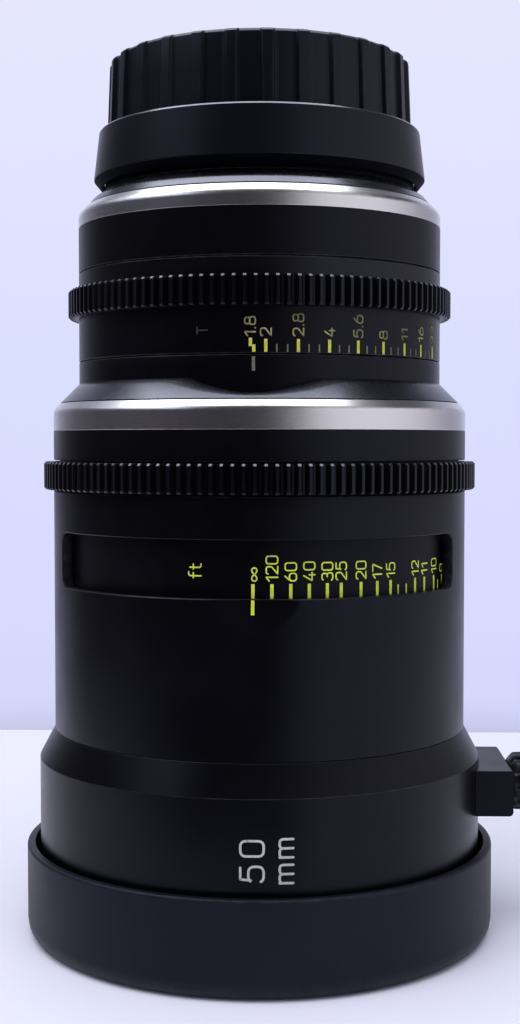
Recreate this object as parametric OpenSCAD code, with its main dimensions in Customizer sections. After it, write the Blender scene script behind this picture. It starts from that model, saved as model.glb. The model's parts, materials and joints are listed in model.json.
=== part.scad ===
// Prime lens for cinema cameras, standing on its front cap with the camera mount upwards.
// The optical axis is +Z, the index lines face -Y and the support pad faces +X. Sizes in mm.

/* [Front cap] */
// Thickness of the cap's floor
front_cap_floor = 3; // [2.4:0.1:3.6]
// Height of the cap
front_cap_h = 23.6; // [20:0.1:27]
// Wall of the cap at its mouth
front_cap_wall = 2.2; // [1.8:0.1:2.8]
// Radial gap between the cap's mouth and the barrel
front_cap_mouth_gap = 1.2; // [0.8:0.1:1.6]
// Height of the band inside the cap that grips the barrel
front_cap_grip_h = 9; // [6:0.5:12]
// Radius of the cap's lower edge
front_cap_edge_r = 4.6; // [3:0.2:5]

/* [Front barrel] */
// Outside diameter of the front barrel, where matte boxes clamp
front_d = 114; // [110:0.5:118]
// Length of the front barrel's cylinder
front_len = 42.7; // [40:0.1:46]
// Height of the cone that joins the barrel to the sleeve
flare_h = 7.3; // [5:0.1:9]
// Wall of the front barrel
front_wall = 4; // [3.2:0.1:4.6]
// Thickness of the barrel's inner web
web_t = 6; // [5.5:0.1:7]
// Depth of the pocket above the web
pocket_h = 7; // [6.5:0.1:8]

/* [Front optics] */
// Thickness of the front cell's flange
cell_flange_t = 4; // [3.5:0.1:4.5]
// Length of the front cell in front of its flange
front_cell_len = 23.8; // [23:0.1:26]
// Gap between the front cell's neck and the focus cell at its nearest distance
neck_clear = 6; // [4:0.5:8]
// Radial room for the bezel between the barrel's bore and the front cell
bezel_w = 6; // [5.6:0.1:6.4]
// Wall of the front cell around the front element
front_cell_wall = 2; // [1.7:0.1:2.4]
// Edge thickness of the front element
front_glass_edge = 6; // [5:0.1:6.5]
// Bulge of the front element's outer face
front_glass_bulge = 5.5; // [3:0.1:6]
// Wall of the front cell around the second element
second_cell_wall = 1.5; // [1.2:0.1:2.4]
// Edge thickness of the second element
second_glass_edge = 6; // [5:0.1:6.5]
// Thickness of the retaining rings along the axis
retainer_t = 2.4; // [2:0.1:2.6]
// Width of the rim on which an element seats
glass_seat = 2.6; // [2.2:0.1:3]
// Length of the spacer between the first two elements
front_spacer_len = 6; // [5.5:0.1:6.5]

/* [Window sleeve] */
// Radial step from the front barrel to the sleeve
sleeve_step = 3.9; // [3:0.1:4.8]
// Length of the sleeve
sleeve_len = 60.9; // [58:0.1:65]
// Wall of the sleeve
sleeve_wall = 2.6; // [2.2:0.1:3]
// Height of the scale window
window_h = 13.5; // [11:0.1:15]
// Distance from the sleeve's upper edge to the window
window_drop = 9.9; // [8:0.1:12]
// Angle that the window spans
window_span = 130; // [110:1:140]
// Radius of the window's corners
window_corner_r = 3; // [2:0.1:4]
// Radius of the scoop below the window
scoop_r = 15.5; // [13:0.1:18]
// Depth of the scoop below the window's edge
scoop_drop = 4.8; // [4:0.1:5.6]

/* [Focus drive] */
// Module of both drive gears
gear_module = 0.8; // [0.8:0.1:0.9]
// Width of the drive gears
gear_w = 7; // [6:0.1:8]
// Chamfer at the ends of the teeth
gear_chamfer = 0.5; // [0.3:0.1:1]
// Gap at each side of a turning ring
ring_gap = 0.4; // [0.3:0.05:0.6]
// How far the teeth stand out of the barrels, to the nearest whole tooth
gear_proud = 2.6; // [2.3:0.1:3]
// Turn of the focus ring from infinity to the nearest distance
focus_turn = 270; // [240:5:280]
// Travel of the focus cell over that turn
focus_travel = 12; // [9:0.5:12]
// Radial gap between turning and fixed tubes
run_gap = 0.3; // [0.25:0.05:0.35]
// Wall of the scale drum
drum_wall = 2; // [1.8:0.1:2.3]
// Depth of the drum below the window
drum_below = 3; // [2:0.5:5]
// Thickness of the drum's top plate
drum_plate_t = 1.6; // [1.5:0.1:2]
// How far that plate reaches over the gear ring
drum_lip = 1.3; // [1:0.1:1.4]
// Wall of the cam barrel
cam_wall = 2; // [1.9:0.1:2.3]
// Wall of the main tube
main_wall = 2.6; // [2.2:0.1:3]
// Width of the main tube's foot flange
main_flange_w = 4; // [3.6:0.1:4.3]
// Thickness of that flange
main_flange_t = 3; // [2.8:0.1:3.4]
// Thickness of the glide ring under the cam barrel
glide_t = 1.2; // [1:0.1:1.5]
// Radius of a cam follower
follower_r = 1.5; // [1.3:0.1:1.6]
// Gap between a follower and its slot
follower_gap = 0.3; // [0.25:0.05:0.35]
// Radius of the focus stop pin
stop_pin_r = 0.5; // [0.4:0.05:0.6]

/* [Focus cell] */
// Distance from the window's upper edge down to the focus cell at infinity
focus_cell_drop = 2; // [1:0.5:4]
// Length of the focus cell
focus_cell_len = 26; // [25:0.5:28]
// Wall of the focus cell around its elements
focus_wall = 4.7; // [4.5:0.1:6.5]
// Edge thickness of the focus elements
focus_glass_edge = 7; // [6:0.1:7.4]
// Thickness of the web between the focus elements
focus_web_t = 4.4; // [4.2:0.1:5]

/* [Middle section] */
// Height of the black band above the focus gear
mid_band_h = 7.4; // [6:0.1:8]
// Height of the silver ring above that band
mid_trim_h = 6.9; // [6:0.1:8]
// Chamfer on both silver rings
trim_chamfer = 2; // [1.2:0.1:2.4]
// Wall of the middle silver ring
mid_trim_wall = 3.2; // [2.8:0.1:3.6]
// Thickness of the lip that carries the rear tube
mid_lip_t = 3; // [2.8:0.1:3.4]
// Radial width of the seat for the middle cell
mid_seat_w = 4.2; // [3.8:0.1:4.6]
// Length of the middle cell below its flange
middle_cell_len = 24; // [24:0.5:26]
// Thickness of the middle cell's flange
middle_flange_t = 2.5; // [2.2:0.1:3]
// Radius of the middle cell's front element
middle_glass_r = 31; // [29:0.1:31.4]
// Radius of the middle cell's rear element
middle_rear_r = 29; // [27:0.1:29.5]
// Edge thickness of the middle elements
middle_glass_edge = 7; // [6:0.1:7.2]

/* [Iris ring] */
// Outside diameter of the rear barrel and the iris ring
rear_d = 93; // [91:0.2:94]
// Height of the index collar
collar_h = 10.4; // [9.5:0.1:12]
// Height of the collar's cone
collar_flare_h = 5; // [4:0.1:6]
// Radius of the scoop in the collar's cone
collar_scoop_r = 31; // [26:0.5:36]
// Height of the cone left under that scoop
collar_scoop_up = 1.5; // [1:0.1:2]
// Seam at each side of the iris ring
seam = 0.2; // [0.15:0.05:0.3]
// Height of the iris ring
iris_ring_h = 22.3; // [21:0.1:24]
// Height of the iris gear's lower face above the ring's lower edge
iris_gear_up = 11; // [10:0.1:12]
// Thickness of the iris ring's wall
iris_wall = 3.2; // [3:0.1:3.4]
// Depth of the seat for the iris gear ring
iris_gear_seat = 1; // [0.8:0.1:1.2]
// Turn of the iris ring
iris_turn = 69; // [60:1:72]

/* [Diaphragm] */
// Radius of the open aperture
aperture_r = 18; // [17:0.1:18.5]
// Width of a blade
blade_w = 8; // [7.4:0.1:8.2]
// Thickness of a blade
blade_t = 0.18; // [0.14:0.01:0.2]
// Distance between the levels of two blades
blade_pitch = 0.28; // [0.26:0.01:0.34]
// Arc that a blade spans
blade_arc = 118; // [112:1:122]
// Radius of the circle of blade pivots
pivot_circle_r = 29; // [28.6:0.1:29.6]
// Turn of a blade for each degree of the iris ring
blade_ratio = 0.478; // [0.45:0.001:0.48]
// Radius of the blades' pins
blade_pin_r = 0.6; // [0.5:0.05:0.65]
// Distance between a blade's two pins
blade_lever = 8.25; // [8:0.05:8.5]
// Thickness of the cam ring and of the key that turns it
iris_cam_t = 2.5; // [2.2:0.1:3]
// Thickness of the ring under the cam ring
iris_keeper_t = 2.2; // [1.8:0.1:2.6]
// Thickness of the ring that holds the blades' pivots
iris_base_t = 2.8; // [2.4:0.1:3.2]
// Height of the diaphragm above the foot of the rear tube
iris_up = 11; // [10.5:0.1:12]
// Width of the drive key
key_w = 6; // [5:0.1:7]
// Gap between the key and its seats
key_gap = 0.1; // [0.1:0.05:0.2]

/* [Rear barrel] */
// Wall of the rear tube
rear_wall = 2.5; // [2.2:0.1:2.8]
// Thickness of the lip inside the rear tube
rear_lip_t = 2.2; // [2:0.1:2.6]
// Width of that lip
rear_lip_w = 3.5; // [3.2:0.1:4]
// Height of the rear barrel
rear_barrel_h = 11.3; // [10:0.1:13]
// Thickness of the rear barrel's web
rear_web_t = 4; // [3.5:0.1:5]
// Height of the rear silver ring
rear_trim_h = 5.6; // [5:0.1:6.4]
// Radial step from the rear barrel to the mount cone
rear_trim_step = 2.5; // [2:0.1:2.6]
// Wall of the rear silver ring at its top
rear_trim_wall = 2.6; // [2.4:0.1:3]
// Thickness of the rear cell's flange
rear_flange_t = 2.5; // [2.2:0.1:3]
// Radius of the rear cell's wide part
rear_cell_r = 33; // [32:0.1:33.5]
// Length of the rear cell's narrow end
rear_cell_end = 8; // [7.6:0.1:9]
// Radius of the rear cell's inner element
rear_inner_r = 27; // [26:0.1:28]
// Radius of the rearmost element
rear_glass_r = 24.5; // [23:0.1:24.6]
// Edge thickness of the rear elements
rear_glass_edge = 6; // [5.2:0.1:6.4]

/* [Camera mount] */
// Height of the mount cone
mount_cone_h = 5.8; // [5.4:0.1:6.6]
// Radius at the top of the mount cone
mount_cone_r = 39.2; // [38.8:0.1:39.6]
// Height of the straight neck above the cone
mount_neck_h = 1.7; // [1.2:0.1:2.2]
// Thickness of the shim under the mount
shim_t = 0.3; // [0.2:0.05:0.5]
// Radius of the mount's flange
mount_r = 40; // [39.6:0.1:40.2]
// Thickness of that flange
mount_t = 4; // [3.6:0.1:4.6]
// Radius of the mount's throat, which enters the camera
throat_r = 31; // [30.4:0.1:31.4]
// Length of the throat
throat_len = 12; // [11:0.1:14]
// Bore of the throat
throat_bore_r = 28; // [27.8:0.1:28.4]
// Gaps between the four tabs of the bayonet, as an angle
tab_gap = 16; // [12:1:18]
// Depth of those gaps
tab_gap_depth = 3; // [2.4:0.1:3.4]
// How far the mount's screws reach into the base
base_thread = 3.6; // [3.2:0.1:4]

/* [Rear cap] */
// Radial play of the cap on the mount's flange
rear_cap_play = 0.3; // [0.25:0.05:0.4]
// How far the skirt reaches below the mount's flange
skirt_below = 1.2; // [1:0.1:1.3]
// Height of the skirt above the mount's flange
skirt_above = 8.9; // [8:0.1:10]
// Height of the ribbed grip
grip_h = 17.9; // [16:0.1:20]
// Radius of the grip at its foot
grip_r = 39; // [38.6:0.1:39.4]
// Draft of the grip over its height
grip_draft = 0.7; // [0.4:0.1:1]
// Height of a rib
rib_h = 1; // [0.7:0.1:1.1]
// Number of ribs
rib_count = 28; // [24:1:32]
// Share of the pitch that a rib takes
rib_share = 0.45; // [0.35:0.05:0.6]
// Angle of the first rib
rib_start = 4.6; // [0:0.1:12]
// Width of the ledge around the grip's foot
ledge_w = 2.1; // [1.6:0.1:2.6]
// Rounding of that ledge's edge
ledge_edge = 0.9; // [0.4:0.1:1.2]
// Thickness of the cap's top and walls
rear_cap_wall = 2.6; // [2.2:0.1:2.8]
// Wall of the skirt at its foot
skirt_wall = 2.2; // [1.8:0.1:2.6]
// Chamfer under the skirt
skirt_chamfer = 1.7; // [1:0.1:1.8]

/* [Support pad] */
// Width of the support pad
pad_w = 31; // [28:0.5:34]
// Height of the support pad
pad_h = 11.5; // [11:0.1:13]
// How far the pad stands out of the barrel
pad_out = 7.5; // [6.5:0.1:9]
// Distance from the pad's top to the barrel's cone
pad_drop = 2.2; // [1.5:0.1:3]
// Gap between the pad and the barrel
pad_gap = 0.1; // [0.05:0.05:0.2]
// Radius of the hand screw's knob
knob_r = 7.4; // [6.8:0.1:8]
// Length of the knob
knob_len = 13; // [10:0.5:16]
// Flutes around the knob
knob_flutes = 12; // [8:1:14]
// Radius of a flute
flute_r = 1.1; // [0.8:0.1:1.2]
// Gap between the knob and the pad
knob_gap = 0.3; // [0.2:0.05:0.5]
// Radius of the hand screw's stud
stud_r = 3; // [2.5:0.1:3.2]
// Play of the stud in its hole
stud_play = 0.06; // [0.04:0.01:0.08]
// Length of the stud
stud_len = 6.6; // [6:0.1:6.8]

/* [Screws] */
// Radius of the screws' shanks
screw_r = 1; // [0.8:0.1:1.1]
// Radius of the screws' heads
screw_head_r = 1.7; // [1.5:0.1:1.8]
// Height of the screws' heads
screw_head_h = 1.2; // [1:0.1:1.4]
// Gap around a screw
screw_gap = 0.1; // [0.05:0.05:0.15]
// Radius of the fine screws in thin walls
fine_screw_r = 0.6; // [0.5:0.05:0.65]
// Number of screws in each circle
screw_count = 6; // [4:1:8]

/* [Hidden] */
$fn = 120;
// Heights, from the table upwards
z_front = front_cap_floor;
z_flare = z_front + front_len;
z_sleeve = z_flare + flare_h;
z_web = z_sleeve - pocket_h;
z_web_low = z_web - web_t;
z_cell_flange = z_web_low - cell_flange_t;
z_cell_front = z_cell_flange - front_cell_len;
z_window_top = z_sleeve + sleeve_len - window_drop;
z_window = z_window_top - window_h;
z_cell = z_window_top - focus_cell_drop - focus_cell_len;
z_neck = z_cell - focus_travel - neck_clear;
z_gear = z_sleeve + sleeve_len + ring_gap;
z_plate = z_gear + gear_w;
z_plate_top = z_plate + drum_plate_t;
z_mid = z_plate + ring_gap;
z_mid_web = z_plate_top + ring_gap;
z_mid_trim = z_mid + mid_band_h;
z_collar = z_mid_trim + mid_trim_h;
z_main_top = z_collar - mid_lip_t;
z_iris = z_collar + collar_h + seam;
z_iris_top = z_iris + iris_ring_h;
z_rear = z_iris_top + seam;
z_rear_trim = z_rear + rear_barrel_h;
z_cone = z_rear_trim + rear_trim_h;
z_shim = z_cone + mount_cone_h;
z_mount = z_shim + shim_t;
z_mount_top = z_mount + mount_t;
z_throat = z_mount_top + throat_len;
z_skirt = z_mount - skirt_below;
z_grip = z_mount_top + skirt_above;
z_top = z_grip + grip_h;
// Radii, from the outside inwards
front_r = front_d / 2;
front_bore_r = front_r - front_wall;
sleeve_r = front_r - sleeve_step;
sleeve_bore_r = sleeve_r - sleeve_wall;
drum_r = sleeve_bore_r - run_gap;
drum_bore_r = drum_r - drum_wall;
cam_r = drum_bore_r - run_gap;
cam_bore_r = cam_r - cam_wall;
main_r = cam_bore_r - run_gap;
main_bore_r = main_r - main_wall;
cell_r = main_bore_r - run_gap;
mid_trim_bore_r = sleeve_r - mid_trim_wall;
collar_foot_r = sleeve_r - trim_chamfer * 0.8;
rear_r = rear_d / 2;
iris_bore_r = rear_r - iris_wall;
tube_r = iris_bore_r - run_gap;
tube_bore_r = tube_r - rear_wall;
fit_gap = run_gap;
focus_teeth = round(2 * (sleeve_r + gear_proud) / gear_module) - 2;
iris_teeth = round(2 * (rear_r + gear_proud) / gear_module) - 2;
// Front cell and its elements
cell_body_r = front_bore_r - bezel_w;
front_glass_r = cell_body_r - front_cell_wall;
second_glass_r = cell_r - second_cell_wall;
z_front_glass = z_cell_front + retainer_t + 0.4;
z_front_seat = z_front_glass + front_glass_edge;
z_second_glass = z_front_seat + front_spacer_len;
z_second_seat = z_second_glass + second_glass_edge;
// Focus cell at infinity
focus_glass_r = cell_r - focus_wall;
z_cell_web = z_cell + (focus_cell_len - focus_web_t) / 2;
z_follower = z_cell + focus_cell_len / 2;
follower_in_r = focus_glass_r + 0.8;
follower_out_r = cam_r - 0.4;
// Middle cell
mid_seat_r = tube_bore_r - mid_seat_w;
middle_r = mid_seat_r - run_gap;
z_middle = z_collar - middle_cell_len;
z_middle_glass = z_middle + retainer_t + 1.6;
z_middle_web = z_middle_glass + middle_glass_edge;
z_middle_rear = z_middle_web + 4;
// Diaphragm
blade_count = 7;
z_keeper = z_collar + iris_up;
z_iris_cam = z_keeper + iris_keeper_t + run_gap;
z_blades = z_iris_cam + iris_cam_t + run_gap;
z_iris_base = z_blades + blade_count * blade_pitch + seam;
z_rear_lip = z_iris_base + iris_base_t;
z_rear_lip_top = z_rear_lip + rear_lip_t;
iris_cam_r = tube_bore_r - rear_wall * 0.6;
lever_angle = 2 * asin(blade_lever / (2 * pivot_circle_r));
// Rear cell
z_rear_tube_top = z_rear_trim - rear_web_t;
z_rear_inner = z_rear_lip_top + retainer_t + 3.4;
z_rear_inner_top = z_rear_inner + rear_glass_edge;
z_rear_end = z_mount - 0.1;
z_rear_tip = z_rear_end + rear_cell_end;
z_rear_glass = z_rear_tip - rear_glass_edge - retainer_t - 0.6;
rear_end_r = throat_bore_r - run_gap;
cone_foot_r = rear_r - rear_trim_step;
base_spigot_r = cone_foot_r - rear_trim_wall;
base_bore_r = rear_cell_r + run_gap;
// Rear cap
skirt_bore_r = mount_r + rear_cap_play;
grip_bore_r = grip_r - rib_h - rear_cap_wall;
screw_circle_r = (base_bore_r + mount_cone_r) / 2;
// Support pad
z_pad_top = z_flare - pad_drop;
z_pad = z_pad_top - pad_h / 2;
pad_x = front_r + pad_out;
pad_screw_y = pad_w / 2 - 4.5;

// Points of an arc around c
function arc(c, r, a0, a1, n = 8) =
  [for (i = [0:n]) c + r * [cos(a0 + (a1 - a0) * i / n), sin(a0 + (a1 - a0) * i / n)]];
// Outline of a spur gear with straight flanks
function gear_outline(teeth) =
  [for (i = [0:teeth - 1]) for (p = [[-1.24, -1.25], [-0.42, 1], [0.42, 1], [1.24, -1.25]])
    let (r = gear_module * (teeth / 2 + p[1]),
      a = 360 * i / teeth + p[0] * gear_module / r * 180 / PI) r * [cos(a), sin(a)]];
function gear_tip_r(teeth) = gear_module * (teeth / 2 + 1);
// Where a blade's drive pin stands for a turn of the iris ring, seen from that ring
function pin_at(t) =
  let (b = -90 - lever_angle / 2 + t * blade_ratio,
    q = [pivot_circle_r + blade_lever * cos(b), blade_lever * sin(b)])
  [q[0] * cos(t) - q[1] * sin(t), q[0] * sin(t) + q[1] * cos(t)];

module lathe(points) rotate_extrude() polygon(points);

module ring(r_out, r_in, z0, z1) lathe([[r_in, z0], [r_out, z0], [r_out, z1], [r_in, z1]]);

module sector(r_out, r_in, z0, z1, a0, a1)
  rotate([0, 0, a0]) rotate_extrude(angle = a1 - a0)
    polygon([[r_in, z0], [r_out, z0], [r_out, z1], [r_in, z1]]);

module around(count, start = 0) for (i = [0:count - 1]) rotate([0, 0, start + 360 * i / count]) children();

// A lens element with a flat rim: low and high are the bulges of its faces, outwards
module element(r, z, edge, low, high) {
  clear = r - glass_seat;
  lathe(concat(
    [for (i = [0:10]) [clear * i / 10, z - low * (1 - pow(i / 10, 2))]],
    [[r, z], [r, z + edge]],
    [for (i = [10:-1:0]) [clear * i / 10, z + edge + high * (1 - pow(i / 10, 2))]]));
}

// A cap screw along +Z, head at the low end, seated with its head's upper face at z
module screw_up(r, z, len) {
  translate([r, 0, z - screw_head_h]) cylinder(r = screw_head_r, h = screw_head_h);
  translate([r, 0, z]) cylinder(r = screw_r, h = len);
}

// A flat-headed screw along -Z, with its head's top at z
module screw_down(r, z, shank_r, head_r, head_h, len) {
  translate([r, 0, z - head_h]) cylinder(r = head_r, h = head_h);
  translate([r, 0, z - len]) cylinder(r = shank_r, h = len - head_h);
}

module front_cap() color("#1b1c20") {
  r = front_r + front_cap_mouth_gap + front_cap_wall;
  e = front_cap_edge_r;
  lip = front_cap_wall * 0.45;
  mouth_r = front_r + front_cap_mouth_gap;
  grip_z = front_cap_floor + front_cap_grip_h;
  lathe(concat([[0, 0]],
    arc([r - e, e], e, -90, 0),
    arc([r - lip, front_cap_h - lip], lip, 0, 90, 5),
    [[mouth_r + 0.3, front_cap_h], [mouth_r, front_cap_h - 0.3], [mouth_r, grip_z + 1],
      [front_r + fit_gap, grip_z], [front_r + fit_gap, front_cap_floor], [0, front_cap_floor]]));
}

module front_barrel() color("#202126") difference() {
  lathe([[front_bore_r, z_front], [front_r - 0.6, z_front], [front_r, z_front + 0.6],
    [front_r, z_flare], [sleeve_r, z_sleeve], [sleeve_bore_r, z_sleeve], [sleeve_bore_r, z_web],
    [main_bore_r, z_web], [main_bore_r, z_web_low], [front_bore_r, z_web_low]]);
  around(screw_count) {
    translate([main_r + main_flange_w / 2, 0, z_web_low - 1])
      cylinder(r = screw_r + screw_gap, h = web_t + 2);
    translate([main_r + main_flange_w / 2, 0, z_web_low - 1])
      cylinder(r = screw_head_r + screw_gap, h = screw_head_h + 1.2);
  }
  around(screw_count, 180 / screw_count) translate([cell_body_r + 2.8, 0, z_web_low - 1])
    cylinder(r = screw_r + screw_gap, h = 4.4);
  for (s = [-1, 1]) translate([front_bore_r + 0.6, s * pad_screw_y, z_pad]) rotate([0, 90, 0])
    cylinder(r = screw_r + screw_gap, h = front_wall);
}

module front_bezel() color("#191a1d") lathe([
  [cell_body_r + fit_gap, z_cell_flange], [front_bore_r - fit_gap, z_cell_flange],
  [front_bore_r - fit_gap, z_front], [front_bore_r - 1.8, z_front],
  [cell_body_r - 1, z_cell_front - 0.3], [cell_body_r + fit_gap, z_cell_front - 0.3]]);

module front_cell() color("#2a2b30") difference() {
  lathe([[front_glass_r + 0.2, z_cell_front], [cell_body_r, z_cell_front],
    [cell_body_r, z_cell_flange], [front_bore_r - fit_gap, z_cell_flange],
    [front_bore_r - fit_gap, z_web_low], [cell_r, z_web_low], [cell_r, z_neck],
    [second_glass_r - glass_seat, z_neck], [second_glass_r - glass_seat, z_second_seat],
    [second_glass_r + 0.2, z_second_seat], [second_glass_r + 0.2, z_front_seat],
    [front_glass_r + 0.2, z_front_seat]]);
  around(screw_count, 180 / screw_count) translate([cell_body_r + 2.8, 0, 0]) {
    translate([0, 0, z_cell_flange - 1]) cylinder(r = screw_r + screw_gap, h = cell_flange_t + 2);
    translate([0, 0, z_cell_flange - 1])
      cylinder(r = screw_head_r + screw_gap, h = screw_head_h + 1.2);
  }
}

module front_element() color("#7d8fb8")
  element(front_glass_r, z_front_glass, front_glass_edge, front_glass_bulge, -2.5);

module front_spacer() color("#232429")
  ring(second_glass_r, second_glass_r - glass_seat + 0.6, z_front_seat, z_second_glass);

module second_element() color("#8796b4")
  element(second_glass_r, z_second_glass, second_glass_edge, 2.5, 2);

module front_retaining_ring() color("#232429")
  ring(front_glass_r, front_glass_r - glass_seat + 0.4, z_front_glass - retainer_t, z_front_glass);

module front_cell_screws() color("#9a9ca2") around(screw_count, 180 / screw_count)
  screw_up(cell_body_r + 2.8, z_cell_flange + screw_head_h + 0.2, cell_flange_t + 1.6);

module main_tube() color("#34353b") difference() {
  lathe([[main_bore_r, z_web], [main_r + main_flange_w, z_web],
    [main_r + main_flange_w, z_web + main_flange_t], [main_r, z_web + main_flange_t],
    [main_r, z_main_top], [main_bore_r, z_main_top]]);
  w = follower_r + follower_gap;
  around(3) for (z = [z_follower, z_follower - focus_travel])
    translate([main_bore_r - 1, 0, z]) rotate([0, 90, 0]) cylinder(r = w, h = main_wall + 2);
  around(3) translate([main_bore_r - 1, -w, z_follower - focus_travel])
    cube([main_wall + 2, 2 * w, focus_travel]);
  around(screw_count) translate([main_r + main_flange_w / 2, 0, z_web - 1])
    cylinder(r = screw_r + screw_gap, h = 3);
  around(screw_count) translate([main_r - main_wall / 2, 0, z_main_top - 4])
    cylinder(r = fine_screw_r + screw_gap, h = 5);
}

module main_tube_screws() color("#9a9ca2") around(screw_count)
  screw_up(main_r + main_flange_w / 2, z_web_low + screw_head_h + 0.2,
    web_t - screw_head_h - 0.2 + 1.8);

// Cutter for the window: a ring sector with round corners
module window_cut() {
  r_in = sleeve_bore_r - 1;
  r_out = sleeve_r + 1;
  c = window_corner_r;
  ca = c / sleeve_r * 180 / PI;
  rotate([0, 0, -90]) {
    sector(r_out, r_in, z_window + c, z_window_top - c, -window_span / 2, window_span / 2);
    sector(r_out, r_in, z_window, z_window_top, -window_span / 2 + ca, window_span / 2 - ca);
    for (s = [-1, 1]) for (z = [z_window + c, z_window_top - c])
      rotate([0, 0, s * (window_span / 2 - ca)]) translate([r_in - 1, 0, z]) rotate([0, 90, 0])
        cylinder(r = c, h = sleeve_wall + 4);
  }
}

// Cutter for the scoop: a sloping floor that runs out at the sleeve's surface
module scoop_cut() intersection() {
  translate([0, 0, z_window - scoop_drop + scoop_r]) rotate([90, 0, 0])
    cylinder(r = scoop_r, h = sleeve_r + 3);
  lathe([[sleeve_bore_r + 0.4, z_window], [sleeve_bore_r + 0.4, z_window + 1],
    [sleeve_r + 2, z_window + 1], [sleeve_r + 2, z_window - scoop_drop - 1.5],
    [sleeve_r + 0.2, z_window - scoop_drop - 1.5]]);
}

module window_sleeve() color("#222328") difference() {
  ring(sleeve_r, sleeve_bore_r, z_sleeve, z_sleeve + sleeve_len);
  window_cut();
  scoop_cut();
}

module focus_glide_ring() color("#b08d4f")
  ring(cam_r, cam_bore_r, z_web + main_flange_t, z_web + main_flange_t + glide_t);

module focus_drum() color("#1d1e22") difference() {
  lathe([[drum_bore_r, z_window - drum_below], [drum_r, z_window - drum_below], [drum_r, z_plate],
    [drum_r + drum_lip, z_plate], [drum_r + drum_lip, z_plate_top],
    [cam_bore_r, z_plate_top], [cam_bore_r, z_plate], [drum_bore_r, z_plate]]);
  a = 2 * asin((stop_pin_r + 0.3) / (drum_r - drum_wall / 2));
  sector(drum_r - drum_wall / 2 + stop_pin_r + 0.3, drum_r - drum_wall / 2 - stop_pin_r - 0.3,
    z_plate_top - 1, z_plate_top + 1, 90 - a, 90 + focus_turn + a);
  around(screw_count) translate([cam_r - cam_wall / 2, 0, z_plate - 1])
    cylinder(r = fine_screw_r + screw_gap, h = drum_plate_t + 2);
  around(screw_count) translate([cam_r - cam_wall / 2, 0, z_plate_top - 0.7])
    cylinder(r = fine_screw_r + 0.4 + screw_gap, h = 2);
}

// A toothed ring with chamfered ends, from z upwards
module toothed_ring(teeth, bore_r, z) {
  tip = gear_tip_r(teeth);
  c = gear_chamfer;
  intersection() {
    translate([0, 0, z]) linear_extrude(height = gear_w) difference() {
      polygon(gear_outline(teeth));
      circle(r = bore_r);
    }
    lathe([[bore_r - 1, z], [tip - c, z], [tip, z + c], [tip, z + gear_w - c],
      [tip - c, z + gear_w], [bore_r - 1, z + gear_w]]);
  }
}

module focus_gear_ring() color("#26272c") toothed_ring(focus_teeth, drum_r + key_gap, z_gear);

// One cam slot: a helix that falls by the focus travel over the focus turn
module cam_slot() {
  n = 60;
  w = (follower_r + follower_gap) / cos(atan(focus_travel / (focus_turn * PI / 180 * cam_r)));
  over = 3.2;
  r0 = cam_bore_r - 0.8;
  r1 = cam_r + 0.8;
  path = [for (i = [0:n]) let (t = -over + (focus_turn + 2 * over) * i / n)
    [t, z_follower - focus_travel * t / focus_turn]];
  pts = [for (p = path) for (q = [[r0, -w], [r1, -w], [r1, w], [r0, w]])
    [q[0] * cos(p[0]), q[0] * sin(p[0]), p[1] + q[1]]];
  sides = [for (i = [0:n - 1]) for (k = [0:3])
    let (a = 4 * i + k, b = 4 * i + (k + 1) % 4) each [[a, b, b + 4], [a, b + 4, a + 4]]];
  polyhedron(pts, concat([[3, 2, 1], [3, 1, 0]], sides,
    [[4 * n, 4 * n + 1, 4 * n + 2], [4 * n, 4 * n + 2, 4 * n + 3]]));
}

module cam_barrel() color("#a9aab0") difference() {
  ring(cam_r, cam_bore_r, z_web + main_flange_t + glide_t + run_gap, z_plate);
  around(3) cam_slot();
  around(screw_count) translate([cam_r - cam_wall / 2, 0, z_plate - 3])
    cylinder(r = fine_screw_r + screw_gap, h = 4);
}

module cam_barrel_screws() color("#9a9ca2") around(screw_count)
  screw_down(cam_r - cam_wall / 2, z_plate_top - 0.05, fine_screw_r, fine_screw_r + 0.4, 0.6,
    drum_plate_t + 2.4);

module focus_stop_pin() color("#b9bac0")
  translate([0, drum_r - drum_wall / 2, z_plate_top - 0.7])
    cylinder(r = stop_pin_r, h = ring_gap + 2.7);

module focus_cell_frame() color("#3a3b41") difference() {
  r = focus_glass_r + 0.2;
  shoulder = focus_glass_r - glass_seat;
  lathe([[r, z_cell], [cell_r, z_cell], [cell_r, z_cell + focus_cell_len],
    [r, z_cell + focus_cell_len], [r, z_cell_web + focus_web_t],
    [shoulder, z_cell_web + focus_web_t], [shoulder, z_cell_web], [r, z_cell_web]]);
  around(3) translate([follower_in_r - 0.2, 0, z_follower]) rotate([0, 90, 0])
    cylinder(r = follower_r + key_gap, h = cell_r);
}

module cam_followers() color("#b08d4f") around(3) translate([follower_in_r, 0, z_follower])
  rotate([0, 90, 0]) cylinder(r = follower_r, h = follower_out_r - follower_in_r);

module focus_element_front() color("#8a9ab6")
  element(focus_glass_r, z_cell_web - focus_glass_edge, focus_glass_edge, -1.5, -2);

module focus_element_rear() color("#8596b2")
  element(focus_glass_r, z_cell_web + focus_web_t, focus_glass_edge, 1.5, 2);

module focus_retaining_rings() color("#232429") {
  low = z_cell_web - focus_glass_edge;
  high = z_cell_web + focus_web_t + focus_glass_edge;
  ring(focus_glass_r, focus_glass_r - glass_seat + 0.4, low - retainer_t, low);
  ring(focus_glass_r, focus_glass_r - glass_seat + 0.4, high, high + retainer_t);
}

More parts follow.
